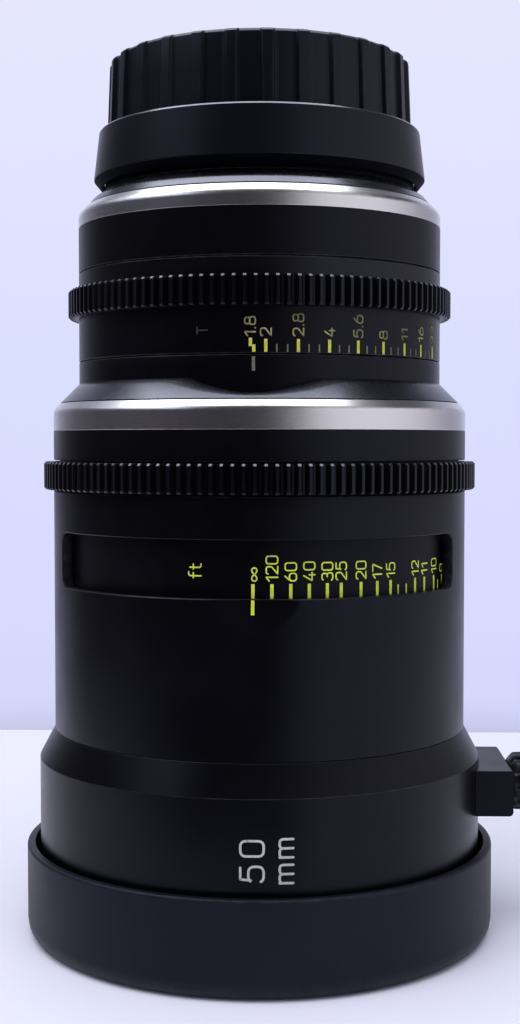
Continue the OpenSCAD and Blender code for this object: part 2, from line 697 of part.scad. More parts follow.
module mid_housing() color("#232429") difference() {
  cavity_r = drum_r + drum_lip + run_gap;
  lathe([[cavity_r, z_mid], [sleeve_r, z_mid], [sleeve_r, z_mid_trim],
    [mid_trim_bore_r - key_gap, z_mid_trim], [mid_trim_bore_r - key_gap, z_collar],
    [mid_seat_r, z_collar], [mid_seat_r, z_main_top], [main_r + key_gap, z_main_top],
    [main_r + key_gap, z_mid_web], [cavity_r, z_mid_web]]);
  translate([0, drum_r - drum_wall / 2, z_mid_web - 1])
    cylinder(r = stop_pin_r + 0.05, h = 3.2);
  around(screw_count) {
    translate([main_r - main_wall / 2, 0, z_main_top - 1])
      cylinder(r = fine_screw_r + screw_gap, h = mid_lip_t + 2);
    translate([main_r - main_wall / 2, 0, z_collar - 0.8])
      cylinder(r = fine_screw_r + 0.5 + screw_gap, h = 2);
  }
}

module mid_housing_screws() color("#9a9ca2") around(screw_count)
  screw_down(main_r - main_wall / 2, z_collar - 0.1, fine_screw_r, fine_screw_r + 0.5, 0.7,
    mid_lip_t + 3);

module mid_trim_ring() color("#c4c6ca") lathe([[mid_trim_bore_r, z_mid_trim],
  [sleeve_r, z_mid_trim], [sleeve_r, z_collar - trim_chamfer],
  [collar_foot_r, z_collar], [mid_trim_bore_r, z_collar]]);

module middle_cell() color("#2a2b30") {
  r = middle_glass_r + 0.2;
  rr = middle_rear_r + 0.2;
  shoulder = middle_rear_r - glass_seat;
  lathe([[r, z_middle], [middle_r, z_middle], [middle_r, z_collar],
    [tube_bore_r - fit_gap, z_collar], [tube_bore_r - fit_gap, z_collar + middle_flange_t],
    [rr, z_collar + middle_flange_t], [rr, z_middle_rear], [shoulder, z_middle_rear],
    [shoulder, z_middle_web], [r, z_middle_web]]);
}

module middle_element_front() color("#8a9ab6")
  element(middle_glass_r, z_middle_glass, middle_glass_edge, 2, -1);

module middle_element_rear() color("#8596b2")
  element(middle_rear_r, z_middle_rear, middle_glass_edge, -1, 2);

module middle_retaining_rings() color("#232429") {
  high = z_middle_rear + middle_glass_edge;
  ring(middle_glass_r, middle_glass_r - glass_seat + 0.4, z_middle_glass - retainer_t,
    z_middle_glass);
  ring(middle_rear_r, middle_rear_r - glass_seat + 0.4, high, high + retainer_t);
}

module index_collar() color("#212227") {
  z_flare_top = z_collar + collar_flare_h;
  bore = tube_r + fit_gap;
  difference() {
    lathe([[bore, z_collar], [collar_foot_r, z_collar], [rear_r, z_flare_top],
      [rear_r, z_collar + collar_h], [bore, z_collar + collar_h]]);
    difference() {
      translate([0, 0, z_collar + collar_scoop_up + collar_scoop_r]) rotate([90, 0, 0])
        cylinder(r = collar_scoop_r, h = collar_foot_r + 5);
      translate([0, 0, z_collar - 1]) cylinder(r = rear_r, h = 3 * collar_scoop_r);
    }
  }
}

module rear_tube() color("#34353b") difference() {
  lathe([[tube_bore_r, z_collar], [tube_r, z_collar], [tube_r, z_rear_tube_top],
    [tube_bore_r, z_rear_tube_top], [tube_bore_r, z_rear_lip_top],
    [tube_bore_r - rear_lip_w, z_rear_lip_top], [tube_bore_r - rear_lip_w, z_rear_lip],
    [tube_bore_r, z_rear_lip]]);
  a = asin((key_w / 2 + 0.4) / tube_bore_r);
  sector(tube_r + 1, tube_bore_r - 1, z_iris_cam - 0.3, z_iris_cam + iris_cam_t + 0.3,
    90 - iris_turn - a, 90 + a);
}

module iris_ring() color("#202126") difference() {
  z0 = z_iris + iris_gear_up;
  seat_r = rear_r - iris_gear_seat;
  lathe([[iris_bore_r, z_iris], [rear_r, z_iris], [rear_r, z0], [seat_r, z0],
    [seat_r, z_iris_top], [iris_bore_r, z_iris_top]]);
  translate([-key_w / 2 - key_gap, 0, z_iris_cam - key_gap])
    cube([key_w + 2 * key_gap, iris_bore_r + iris_wall / 2, iris_cam_t + 2 * key_gap]);
}

// The toothed band with the plain collar above it, pushed onto the iris ring
module iris_gear_ring() color("#26272c") {
  z0 = z_iris + iris_gear_up;
  bore = rear_r - iris_gear_seat + key_gap;
  toothed_ring(iris_teeth, bore, z0);
  ring(rear_r, bore, z0 + gear_w, z_iris_top);
}

module iris_drive_key() color("#b9bac0") intersection() {
  translate([-key_w / 2, 0, z_iris_cam]) cube([key_w, rear_r, iris_cam_t]);
  ring(iris_bore_r + iris_wall / 2 - key_gap, iris_cam_r - 1.6, z_iris_cam,
    z_iris_cam + iris_cam_t);
}

module iris_cam_ring() color("#8d8f96") {
  w = 1.25 * blade_pin_r;
  n = 24;
  difference() {
    ring(iris_cam_r, aperture_r + 0.15 * blade_w, z_iris_cam, z_iris_cam + iris_cam_t);
    around(blade_count) translate([0, 0, z_iris_cam - 1]) linear_extrude(height = iris_cam_t + 2)
      polygon([for (s = [-1, 1]) for (i = [0:n])
        let (j = s < 0 ? i : n - i, t = -1.6 + (iris_turn + 3.2) * j / n, p = pin_at(t),
          d = pin_at(t + 0.5) - pin_at(t - 0.5), u = d / norm(d))
        p + s * w * [-u[1], u[0]]]);
    translate([-key_w / 2 - key_gap, iris_cam_r - 1.6 - 3 * key_gap, z_iris_cam - 1])
      cube([key_w + 2 * key_gap, 5, iris_cam_t + 2]);
  }
}

module iris_keeper() color("#2a2b30")
  ring(tube_bore_r - key_gap, aperture_r + blade_w / 4, z_keeper, z_keeper + iris_keeper_t);

module iris_base_ring() color("#3a3b41") difference() {
  ring(tube_bore_r - key_gap, aperture_r + blade_w / 8, z_iris_base, z_rear_lip);
  around(blade_count) translate([pivot_circle_r, 0, z_iris_base - 1])
    cylinder(r = blade_pin_r * 13 / 12, h = iris_base_t + 2);
}

// One blade at its own level, open, with a pivot pin upwards and a drive pin downwards
module iris_blade(i) color("#17181a") rotate([0, 0, 360 * i / blade_count]) {
  z = z_blades + i * blade_pitch;
  r0 = aperture_r;
  r1 = aperture_r + blade_w;
  q = pin_at(0);
  ear = 2.5 * blade_pin_r;
  translate([0, 0, z]) linear_extrude(height = blade_t) {
    polygon(concat(arc([0, 0], r1, -5, blade_arc, 30), arc([0, 0], r0, blade_arc, -5, 30)));
    translate([pivot_circle_r, 0]) circle(r = ear, $fn = 48);
    translate(q) circle(r = ear, $fn = 48);
    polygon([[r1 - blade_w / 8, -blade_w / 4], [pivot_circle_r, -ear], [pivot_circle_r, ear],
      [r1 - blade_w / 8, 0.3 * blade_w]]);
    polygon([[pivot_circle_r - ear, 0], q - [ear, 0], q + [ear, 0], [pivot_circle_r + ear, 0]]);
  }
  translate([pivot_circle_r, 0, z]) cylinder(r = blade_pin_r, h = z_iris_base + iris_base_t / 1.4 - z);
  translate([q[0], q[1], z_iris_cam + iris_cam_t / 5])
    cylinder(r = blade_pin_r, h = z + blade_t - z_iris_cam - iris_cam_t / 5);
}

module rear_cell() color("#2a2b30") {
  r = rear_inner_r + 0.2;
  re = rear_glass_r + 0.2;
  shoulder = rear_glass_r - glass_seat;
  lathe([[r, z_rear_lip_top], [tube_bore_r - fit_gap, z_rear_lip_top],
    [tube_bore_r - fit_gap, z_rear_lip_top + rear_flange_t],
    [rear_cell_r, z_rear_lip_top + rear_flange_t], [rear_cell_r, z_rear_end],
    [rear_end_r, z_rear_end], [rear_end_r, z_rear_tip], [re, z_rear_tip], [re, z_rear_glass],
    [shoulder, z_rear_glass], [shoulder, z_rear_inner_top], [r, z_rear_inner_top]]);
}

module rear_element_inner() color("#8a9ab6")
  element(rear_inner_r, z_rear_inner, rear_glass_edge, 2, -1);

module rear_element_outer() color("#8596b2")
  element(rear_glass_r, z_rear_glass, rear_glass_edge, 1, 2.2);

module rear_retaining_rings() color("#232429") {
  high = z_rear_glass + rear_glass_edge;
  ring(rear_inner_r, rear_inner_r - glass_seat + 0.4, z_rear_inner - retainer_t, z_rear_inner);
  ring(rear_glass_r, rear_glass_r - glass_seat + 0.4, high, high + retainer_t);
}

module rear_barrel() color("#222328") lathe([
  [tube_r + fit_gap, z_rear], [rear_r, z_rear], [rear_r, z_rear_trim],
  [rear_cell_r + 2, z_rear_trim], [rear_cell_r + 2, z_rear_tube_top],
  [tube_r + fit_gap, z_rear_tube_top]]);

module rear_trim_ring() color("#c4c6ca") lathe([[base_spigot_r + key_gap, z_rear_trim],
  [rear_r, z_rear_trim], [rear_r, z_cone - rear_trim_step], [cone_foot_r, z_cone],
  [base_spigot_r + key_gap, z_cone]]);

module mount_base() color("#232429") difference() {
  lathe([[base_bore_r, z_rear_trim], [base_spigot_r, z_rear_trim], [base_spigot_r, z_cone],
    [cone_foot_r, z_cone], [mount_cone_r, z_shim - mount_neck_h], [mount_cone_r, z_shim],
    [base_bore_r, z_shim]]);
  around(screw_count, 180 / screw_count) translate([screw_circle_r, 0, z_shim - base_thread - 0.6])
    cylinder(r = screw_r + screw_gap, h = base_thread + 1.4);
}

module mount_shim() color("#c9a45c") difference() {
  ring(mount_cone_r, base_bore_r, z_shim, z_mount);
  around(screw_count, 180 / screw_count) translate([screw_circle_r, 0, z_shim - 1])
    cylinder(r = screw_r + screw_gap, h = 3);
}

module lens_mount() color("#b9bac0") difference() {
  lathe([[throat_bore_r, z_mount], [mount_r, z_mount], [mount_r, z_mount_top],
    [throat_r, z_mount_top], [throat_r, z_throat - 0.6], [throat_r - 0.6, z_throat],
    [throat_bore_r, z_throat]]);
  around(4, 45) sector(mount_r + 1, mount_r - tab_gap_depth, z_mount - 1, z_mount_top + 1,
    -tab_gap / 2, tab_gap / 2);
  around(screw_count, 180 / screw_count) {
    translate([screw_circle_r, 0, z_mount - 1]) cylinder(r = screw_r + screw_gap, h = mount_t + 2);
    translate([screw_circle_r, 0, z_mount_top - screw_head_h - 0.1])
      cylinder(r = screw_head_r + screw_gap, h = screw_head_h + 2);
  }
}

module mount_screws() color("#9a9ca2") around(screw_count, 180 / screw_count)
  screw_down(screw_circle_r, z_mount_top - 0.1, screw_r, screw_head_r, screw_head_h,
    mount_t + shim_t + base_thread);

module rear_cap() color("#1a1b1f") {
  foot_r = skirt_bore_r + skirt_wall;
  head_r = grip_r + ledge_w;
  core_r = grip_r - rib_h;
  top_r = core_r - grip_draft;
  z_seat = z_mount_top;
  pitch = 360 / rib_count;
  lathe([[skirt_bore_r, z_skirt], [foot_r - skirt_chamfer, z_skirt],
    [foot_r, z_skirt + 1.2 * skirt_chamfer], [head_r, z_grip - ledge_edge],
    [head_r - 0.3 * ledge_edge, z_grip - 0.3 * ledge_edge], [head_r - ledge_edge, z_grip],
    [core_r, z_grip], [top_r + 0.1, z_top - 0.8], [top_r - 0.7, z_top], [0, z_top],
    [0, z_top - rear_cap_wall], [grip_bore_r - grip_draft, z_top - rear_cap_wall],
    [grip_bore_r, z_seat], [skirt_bore_r, z_seat]]);
  intersection() {
    around(rib_count, rib_start) translate([0, 0, z_grip]) linear_extrude(height = grip_h)
      polygon([for (p = [[core_r - 1.2, -0.62], [core_r - 0.2, -0.5], [grip_r + 0.2, -0.32],
        [grip_r + 0.5, 0], [grip_r + 0.2, 0.32], [core_r - 0.2, 0.5], [core_r - 1.2, 0.62]])
        let (a = p[1] * pitch * rib_share) p[0] * [cos(a), sin(a)]]);
    lathe([[core_r - 0.6 - grip_draft, z_grip], [grip_r, z_grip], [grip_r - grip_draft, z_top - 0.9],
      [grip_r - grip_draft - 0.8, z_top - 0.1], [core_r - 0.6 - grip_draft, z_top - 0.9]]);
  }
}

module support_pad() color("#1c1d21") difference() {
  c = 1;
  translate([0, -pad_w / 2, 0]) rotate([90, 0, 180]) mirror([1, 0, 0]) linear_extrude(height = pad_w)
    polygon([[front_bore_r, z_pad_top - pad_h], [pad_x - c, z_pad_top - pad_h],
      [pad_x - 0.3, z_pad_top - pad_h + 0.3], [pad_x, z_pad_top - pad_h + c],
      [pad_x, z_pad_top - c / 2], [pad_x - c / 2, z_pad_top], [front_bore_r, z_pad_top]]);
  translate([0, 0, z_front]) cylinder(r = front_r + pad_gap, h = front_len);
  translate([front_r - 2, 0, z_pad]) rotate([0, 90, 0])
    cylinder(r = stud_r + stud_play, h = pad_out + 4);
  for (s = [-1, 1]) translate([0, s * pad_screw_y, z_pad]) rotate([0, 90, 0]) {
    cylinder(r = screw_r + screw_gap, h = pad_x + 2);
    translate([0, 0, pad_x - screw_head_h - 0.2])
      cylinder(r = screw_head_r + screw_gap, h = screw_head_h + 2);
  }
}

module support_pad_screws() color("#9a9ca2") for (s = [-1, 1])
  translate([0, s * pad_screw_y, z_pad]) rotate([0, 90, 0]) {
    translate([0, 0, pad_x - screw_head_h - 0.2])
      cylinder(r = screw_head_r, h = screw_head_h);
    translate([0, 0, front_bore_r + 0.8])
      cylinder(r = screw_r, h = pad_x - screw_head_h - 0.2 - front_bore_r - 0.8);
  }

module support_hand_screw() color("#1a1b1e") {
  x0 = pad_x + knob_gap;
  c = 1.6;
  translate([0, 0, z_pad]) rotate([0, 90, 0]) {
    difference() {
      lathe([[0, x0], [knob_r - c, x0], [knob_r, x0 + c], [knob_r, x0 + knob_len - 1],
        [knob_r - 1, x0 + knob_len], [0, x0 + knob_len]]);
      around(knob_flutes) translate([knob_r + flute_r * 0.35, 0, x0 - 1])
        cylinder(r = flute_r, h = knob_len + 2, $fn = 32);
    }
    translate([0, 0, pad_x - stud_len]) cylinder(r = stud_r, h = stud_len + knob_gap + 1);
  }
}

front_cap();
front_barrel();
front_bezel();
front_cell();
front_element();
front_spacer();
second_element();
front_retaining_ring();
front_cell_screws();
main_tube();
main_tube_screws();
window_sleeve();
focus_glide_ring();
focus_drum();
focus_gear_ring();
cam_barrel();
cam_barrel_screws();
focus_stop_pin();
focus_cell_frame();
cam_followers();
focus_element_front();
focus_element_rear();
focus_retaining_rings();
mid_housing();
mid_housing_screws();
mid_trim_ring();
middle_cell();
middle_element_front();
middle_element_rear();
middle_retaining_rings();
index_collar();
rear_tube();
iris_ring();
iris_gear_ring();
iris_drive_key();
iris_cam_ring();
iris_keeper();
iris_base_ring();
iris_blade(0);  // iris_blade_1
iris_blade(1);  // iris_blade_2
iris_blade(2);  // iris_blade_3
iris_blade(3);  // iris_blade_4
iris_blade(4);  // iris_blade_5
iris_blade(5);  // iris_blade_6
iris_blade(6);  // iris_blade_7
rear_cell();
rear_element_inner();
rear_element_outer();
rear_retaining_rings();
rear_barrel();
rear_trim_ring();
mount_base();
mount_shim();
lens_mount();
mount_screws();
rear_cap();
support_pad();
support_pad_screws();
support_hand_screw();
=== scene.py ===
import bpy
import bmesh
import json
import math
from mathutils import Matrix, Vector


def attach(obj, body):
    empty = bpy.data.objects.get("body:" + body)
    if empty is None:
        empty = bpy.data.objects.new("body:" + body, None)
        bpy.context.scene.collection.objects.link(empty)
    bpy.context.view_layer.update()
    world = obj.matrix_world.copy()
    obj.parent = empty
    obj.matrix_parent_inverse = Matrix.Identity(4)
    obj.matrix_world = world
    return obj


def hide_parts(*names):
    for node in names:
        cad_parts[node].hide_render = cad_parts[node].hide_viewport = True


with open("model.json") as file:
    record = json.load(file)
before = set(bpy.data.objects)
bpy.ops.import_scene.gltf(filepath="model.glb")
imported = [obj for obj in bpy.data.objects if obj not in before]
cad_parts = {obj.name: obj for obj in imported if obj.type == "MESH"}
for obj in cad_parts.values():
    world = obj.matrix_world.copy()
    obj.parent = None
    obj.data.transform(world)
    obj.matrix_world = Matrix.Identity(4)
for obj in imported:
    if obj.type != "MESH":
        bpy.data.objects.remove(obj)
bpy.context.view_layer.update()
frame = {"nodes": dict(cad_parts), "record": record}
scene = bpy.context.scene
scene.view_settings.view_transform = "Standard"

# Sizes in mm, and one angle in degrees: radii from the optical axis, heights from the table
MM = 0.001
TINY = 1e-6
CAP_R = 60.4
CAP_WIDE_BORE = 58.2
CAP_BORE = 57.3
CAP_FLOOR = 3.0
CAP_STEP = 12.0
CAP_TOP = 23.6
FRONT_R = 57.0
FRONT_BORE = 53.0
FRONT_SHOULDER = 45.7
SEAT_BORE = 43.0
SEAT_FOOT = 40.0
SEAT_TOP = 46.0
BEZEL_R = 52.7
BEZEL_BORE = 47.3
BEZEL_TOP = 36.0
STAIR_OUTER_R = 51.2
STAIR_INNER_R = 46.0
STAIR_TOP = 11.9
STAIR_STEPS = 10
SLEEVE_R = 53.1
SLEEVE_BORE = 50.5
SLEEVE_FOOT = 53.0
SLEEVE_TOP = 113.9
WINDOW_LOW = 90.5
WINDOW_HIGH = 104.0
WINDOW_HALF_ANGLE = 65.0
DRUM_R = 50.2
GEAR_WIDTH = 7.0
FOCUS_GEAR_BORE = 50.3
FOCUS_GEAR_FOOT = 114.3
BAND_FOOT = 121.7
BAND_SPIGOT_R = 51.8
BAND_SPIGOT_TOP = 123.3
BAND_BORE = 45.7
BAND_LIP_BORE = 36.3
BAND_LIP_FOOT = 133.0
TRIM_SEAT_R = 49.8
TRIM_BORE = 49.9
TRIM_FOOT = 129.1
TRIM_SHOULDER = 134.0
COLLAR_FOOT_R = 51.5
COLLAR_FOOT = 136.0
COLLAR_STEP = 141.0
COLLAR_TOP = 146.4
REAR_R = 46.5
REAR_BORE = 43.3
REAR_LIP_BORE = 35.0
REAR_LIP_FOOT = 176.4
IRIS_FOOT = 146.6
IRIS_SEAT_R = 45.5
IRIS_GEAR_BORE = 45.6
IRIS_GEAR_FOOT = 157.6
IRIS_TOP = 168.9
REAR_FOOT = 169.1
REAR_TRIM_BORE = 41.5
REAR_TRIM_FOOT = 180.4
REAR_TRIM_SHOULDER = 183.8
REAR_TRIM_TOP_R = 44.6
CONE_SPIGOT_R = 41.4
CONE_BORE = 33.3
CONE_FOOT_R = 44.2
CONE_BREAK_R = 42.75
CONE_FOOT = 185.75
CONE_BREAK = 187.75
CONE_NECK = 190.0
CONE_NECK_R = 39.6
CONE_TOP = 191.8
SKIRT_FOOT = 190.9
SKIRT_BORE = 40.3
SKIRT_INNER_FOOT = 196.1
SKIRT_R = 42.5
SKIRT_FLARE = 192.94
SKIRT_RIM_R = 41.13
SKIRT_RIM = 204.55
GRIP_BORE = 35.4
GRIP_FOOT = 205.0
GRIP_ROOF = 220.3
GRIP_TOP = 222.9
PAD_Z = 37.75
PAINT_LIFT = 0.03


# Materials
GLOSS_TINT = (0.80, 0.83, 1.0)
GLASS_IOR = 1.62
FILM_IOR = 1.38
# Depths of the surface grain, in metres
BEAD_DEPTH = 0.00003
STIPPLE_DEPTH = 0.00006
TURNING_DEPTH = 0.00002
LOOKS = {}


def new_node(tree, kind, links=(), **props):
    """A shader node with its properties set, and its inputs set or linked."""
    node = tree.nodes.new("ShaderNode" + kind)
    for key, value in props.items():
        setattr(node, key, value)
    for key, value in dict(links).items():
        if hasattr(value, "is_output"):
            tree.links.new(value, node.inputs[key])
        else:
            node.inputs[key].default_value = value
    return node


class Look:
    """A procedural material around one Principled shader, kept in LOOKS by its name."""

    def __init__(self, name, **sockets):
        self.mat = bpy.data.materials.new(name)
        self.mat.use_nodes = True
        LOOKS[name] = self.mat
        self.tree = self.mat.node_tree
        self.tree.nodes.clear()
        out = self.tree.nodes.new("ShaderNodeOutputMaterial")
        self.bsdf = self.tree.nodes.new("ShaderNodeBsdfPrincipled")
        self.tree.links.new(self.bsdf.outputs[0], out.inputs[0])
        self.set(**sockets)

    def set(self, **sockets):
        """Set or link inputs of the shader, spelt with _ for each space."""
        for key, value in sockets.items():
            socket = self.bsdf.inputs[key.replace("_", " ")]
            if hasattr(value, "is_output"):
                self.tree.links.new(value, socket)
            elif isinstance(value, tuple):
                socket.default_value = (*value, 1)
            else:
                socket.default_value = value

    def node(self, kind, links=(), **props):
        return new_node(self.tree, kind, links, **props)

    def place(self):
        return self.node("TexCoord").outputs["Object"]

    def noise(self, scale, detail, rough=0.5, at=None):
        inputs = {"Vector": at or self.place(), "Scale": scale, "Detail": detail, "Roughness": rough}
        return self.node("TexNoise", inputs).outputs["Fac"]

    def remap(self, value, span, to):
        """A value in one span, moved to another."""
        return self.node("MapRange", {0: value, 1: span[0], 2: span[1], 3: to[0], 4: to[1]}).outputs[0]

    def math(self, op, a, b):
        return self.node("Math", {0: a, 1: b}, operation=op).outputs[0]

    def blend(self, fac, a, b):
        """Colour a where fac is 0, b where it is 1."""
        a, b = (c if hasattr(c, "is_output") else (*c, 1) for c in (a, b))
        return self.node("Mix", {0: fac, 6: a, 7: b}, data_type="RGBA").outputs[2]

    def bump(self, height, strength, distance):
        return self.node("Bump", {"Height": height, "Strength": strength, "Distance": distance}).outputs[0]

    def around(self, turns, rises):
        """Coordinates that run round the axis, for turned and brushed metal."""
        xyz = self.node("SeparateXYZ", {0: self.place()})
        angle = self.math("ARCTAN2", xyz.outputs[0], xyz.outputs[1])
        flat = self.node("CombineXYZ", {0: self.math("MULTIPLY", angle, turns),
                                        1: self.math("MULTIPLY", xyz.outputs[2], rises)})
        return flat.outputs[0]

    def edge(self):
        """1 along the rounded edges of a piece, with gaps, for wear."""
        rim = self.node("Attribute", attribute_name="edge").outputs["Fac"]
        patch = self.remap(self.noise(scale=420, detail=3, rough=0.6), (0.42, 0.66), (0.25, 1.0))
        return self.math("MULTIPLY", rim, patch)

    def wear(self, base, amount, bare):
        """The base colour with its edges rubbed towards a bare colour."""
        self.set(Base_Color=self.blend(self.math("MULTIPLY", self.edge(), amount), base, bare))

    def uneven(self, a, b, low, high):
        """Roughness between two values, by the sum of two noises."""
        self.set(Roughness=self.remap(self.math("ADD", a, b), (0.7, 1.3), (low, high)))


def tone(colour, k):
    return tuple(min(1.0, c * k) for c in colour)


def anodised(name, colour, rough, shine, worn=(0.05, 0.05, 0.055), ior=1.5):
    """Bead-blasted, black anodised aluminium with bare edges."""
    look = Look(name, Specular_IOR_Level=shine, Specular_Tint=GLOSS_TINT, IOR=ior)
    broad = look.noise(scale=55, detail=4, rough=0.6)
    fine = look.noise(scale=4200, detail=2, rough=0.6)
    dull, plain, speck = (tone(colour, k) for k in (0.75, 1.3, 2.4))
    base = look.blend(look.remap(broad, (0.35, 0.65), (0, 1)), dull, plain)
    base = look.blend(look.remap(fine, (0.62, 0.8), (0, 0.35)), base, speck)
    look.wear(base, 0.5, worn)
    look.uneven(broad, fine, rough - 0.05, rough + 0.06)
    look.set(Normal=look.bump(fine, 0.18, BEAD_DEPTH))


def moulded(name, colour, rough, shine, grain=2600, depth=0.3, ior=1.5):
    """Moulded plastic with a fine stipple, upright scuffs and rubbed edges."""
    look = Look(name, Specular_IOR_Level=shine, Specular_Tint=GLOSS_TINT, IOR=ior)
    broad = look.noise(scale=34, detail=5, rough=0.65)
    fine = look.noise(scale=grain, detail=3, rough=0.55)
    upright = look.node("Mapping", {0: look.place(), 3: (1, 1, 0.12)}).outputs[0]
    scuff = look.noise(scale=900, detail=2, at=upright)
    dull, plain, scuffed, rubbed = (tone(colour, k) for k in (0.82, 1.2, 2.0, 3.2))
    base = look.blend(look.remap(broad, (0.3, 0.7), (0, 1)), dull, plain)
    base = look.blend(look.remap(scuff, (0.66, 0.78), (0, 0.3)), base, scuffed)
    look.wear(base, 0.55, rubbed)
    look.uneven(broad, fine, rough - 0.06, rough + 0.08)
    look.set(Normal=look.bump(fine, depth, STIPPLE_DEPTH))


def turned(name, colour, rough, depth=0.25, stain=0.9, vary=0.06):
    """Bare or clear-anodised metal with fine turning marks round the axis."""
    look = Look(name, Metallic=1.0)
    lines = look.noise(scale=1, detail=3, rough=0.6, at=look.around(turns=2.2, rises=26000))
    broad = look.noise(scale=60, detail=4, rough=0.6)
    base = look.blend(look.remap(lines, (0.3, 0.7), (0, 1)), tone(colour, stain), colour)
    base = look.blend(look.remap(broad, (0.4, 0.75), (0, 0.35)), base, tone(colour, 2 * stain - 1))
    look.wear(base, 0.35, tone(colour, 1.3))
    look.uneven(lines, broad, rough - vary, rough + vary)
    look.set(Normal=look.bump(lines, depth, TURNING_DEPTH))


def coated(name, tint, film):
    """Polished glass with an anti-reflection film, in nm, and a little dust."""
    look = Look(name, Transmission_Weight=1.0, IOR=GLASS_IOR)
    look.set(Thin_Film_Thickness=film, Thin_Film_IOR=FILM_IOR)
    dust = look.noise(scale=2600, detail=3, rough=0.7)
    broad = look.noise(scale=70, detail=3)
    look.set(Base_Color=look.blend(look.remap(broad, (0.35, 0.65), (0, 1)), tint, tone(tint, 0.94)))
    look.set(Roughness=look.remap(look.math("MULTIPLY", dust, broad), (0.24, 0.5), (0.0, 0.06)))


def ink(name, colour, faded=0.8):
    """Paint in engraved marks: chalky, uneven, in places faded."""
    look = Look(name, Specular_IOR_Level=0.2)
    broad = look.noise(scale=700, detail=4, rough=0.6)
    fine = look.noise(scale=6000, detail=2)
    patch = look.remap(look.noise(scale=190, detail=2), (0.38, 0.62), (0, 1))
    base = look.blend(patch, tone(colour, faded), colour)
    look.set(Base_Color=look.blend(look.remap(broad, (0.3, 0.7), (0, 1)), tone(colour, 0.8 * faded), base))
    look.set(Roughness=look.remap(fine, (0.3, 0.7), (0.5, 0.7)), Normal=look.bump(fine, 0.3, BEAD_DEPTH))


BLACK = (0.0012, 0.0012, 0.0024)
moulded("front_cap_plastic", (0.0066, 0.0070, 0.0112), rough=0.42, shine=0.14)
moulded("rear_cap_plastic", (0.0021, 0.0023, 0.0046), rough=0.34, shine=0.23, grain=3400, depth=0.15)
# Painted shade: a darker, duller copy of the cap plastic for the underside of the rear cap's skirt
moulded("skirt_painted_shade", (0.0009, 0.0009, 0.0026), rough=0.6, shine=0.04, grain=3400)
# Painted highlight: a lighter, glossier copy of the cap plastic for the rounded top of the skirt's rim
moulded("skirt_rim_painted_highlight", (0.0042, 0.0045, 0.0075), rough=0.24, shine=0.5, grain=3400, depth=0.1, ior=2.0)
anodised("barrel_black", BLACK, rough=0.31, shine=0.19)
anodised("sleeve_black", BLACK, rough=0.33, shine=0.19)
anodised("collar_black", BLACK, rough=0.33, shine=0.19)
anodised("cone_black", BLACK, rough=0.29, shine=0.5, ior=2.0)
anodised("base_black", BLACK, rough=0.25, shine=0.5, ior=1.95)
# Painted shade: a darker, duller copy of the anodising for the mount's neck, under the rear cap's skirt
anodised("neck_painted_shade", tone(BLACK, 0.5), rough=0.6, shine=0.05)
anodised("rear_black", BLACK, rough=0.33, shine=0.19)
anodised("ring_black", BLACK, rough=0.32, shine=0.19)
anodised("gear_black", tone(BLACK, 0.9), rough=0.33, shine=0.32, worn=(0.10, 0.10, 0.12))
# Painted glint: a lighter, glossier copy of the gear anodising for the upward-facing chamfers at the top of
# the teeth
anodised("tooth_painted_glint", tone(BLACK, 2.0), rough=0.30, shine=0.5, worn=(0.12, 0.12, 0.13), ior=1.8)
anodised("drum_black", BLACK, rough=0.42, shine=0.15)
anodised("bezel_black", tone(BLACK, 1.6), rough=0.55, shine=0.2)
anodised("cell_black", tone(BLACK, 2.5), rough=0.5, shine=0.25)
anodised("tube_black", tone(BLACK, 3.2), rough=0.45, shine=0.25)
anodised("blade_black", tone(BLACK, 2.5), rough=0.42, shine=0.3)
anodised("pad_black", BLACK, rough=0.4, shine=0.2)
anodised("knob_black", BLACK, rough=0.36, shine=0.26, worn=(0.1, 0.1, 0.11))
turned("trim_silver", (0.66, 0.655, 0.66), rough=0.28, depth=0.015, stain=0.985, vary=0.015)
turned("cam_alloy", (0.5, 0.5, 0.52), rough=0.4)
turned("mount_steel", (0.6, 0.6, 0.61), rough=0.24, depth=0.3)
turned("fastener_steel", (0.42, 0.42, 0.43), rough=0.34, depth=0.2)
turned("bearing_brass", (0.66, 0.47, 0.2), rough=0.32)
coated("coated_glass", (0.93, 0.95, 1.0), film=430.0)
coated("optical_glass", (0.95, 0.97, 0.98), film=330.0)
ink("mark_lime", (0.70, 0.82, 0.06))
ink("stop_lime", (0.60, 0.64, 0.07))
ink("figure_lime", (0.36, 0.35, 0.14), faded=0.4)
ink("mark_pale", (0.19, 0.19, 0.11), faded=0.6)
ink("letter_grey", (0.04, 0.04, 0.042))
ink("line_grey", (0.20, 0.20, 0.17), faded=0.6)
ink("figure_white", (0.56, 0.56, 0.535))
for part in frame["record"]["subparts"]:
    for slot in frame["nodes"][part["node"]].material_slots:
        slot.material = LOOKS[part["material_slot"]]


# Meshes
SMOOTH_ANGLE = 38
CORNER_STEPS = 4
MOST_CUT = 0.48
TURNED_STEPS = 192


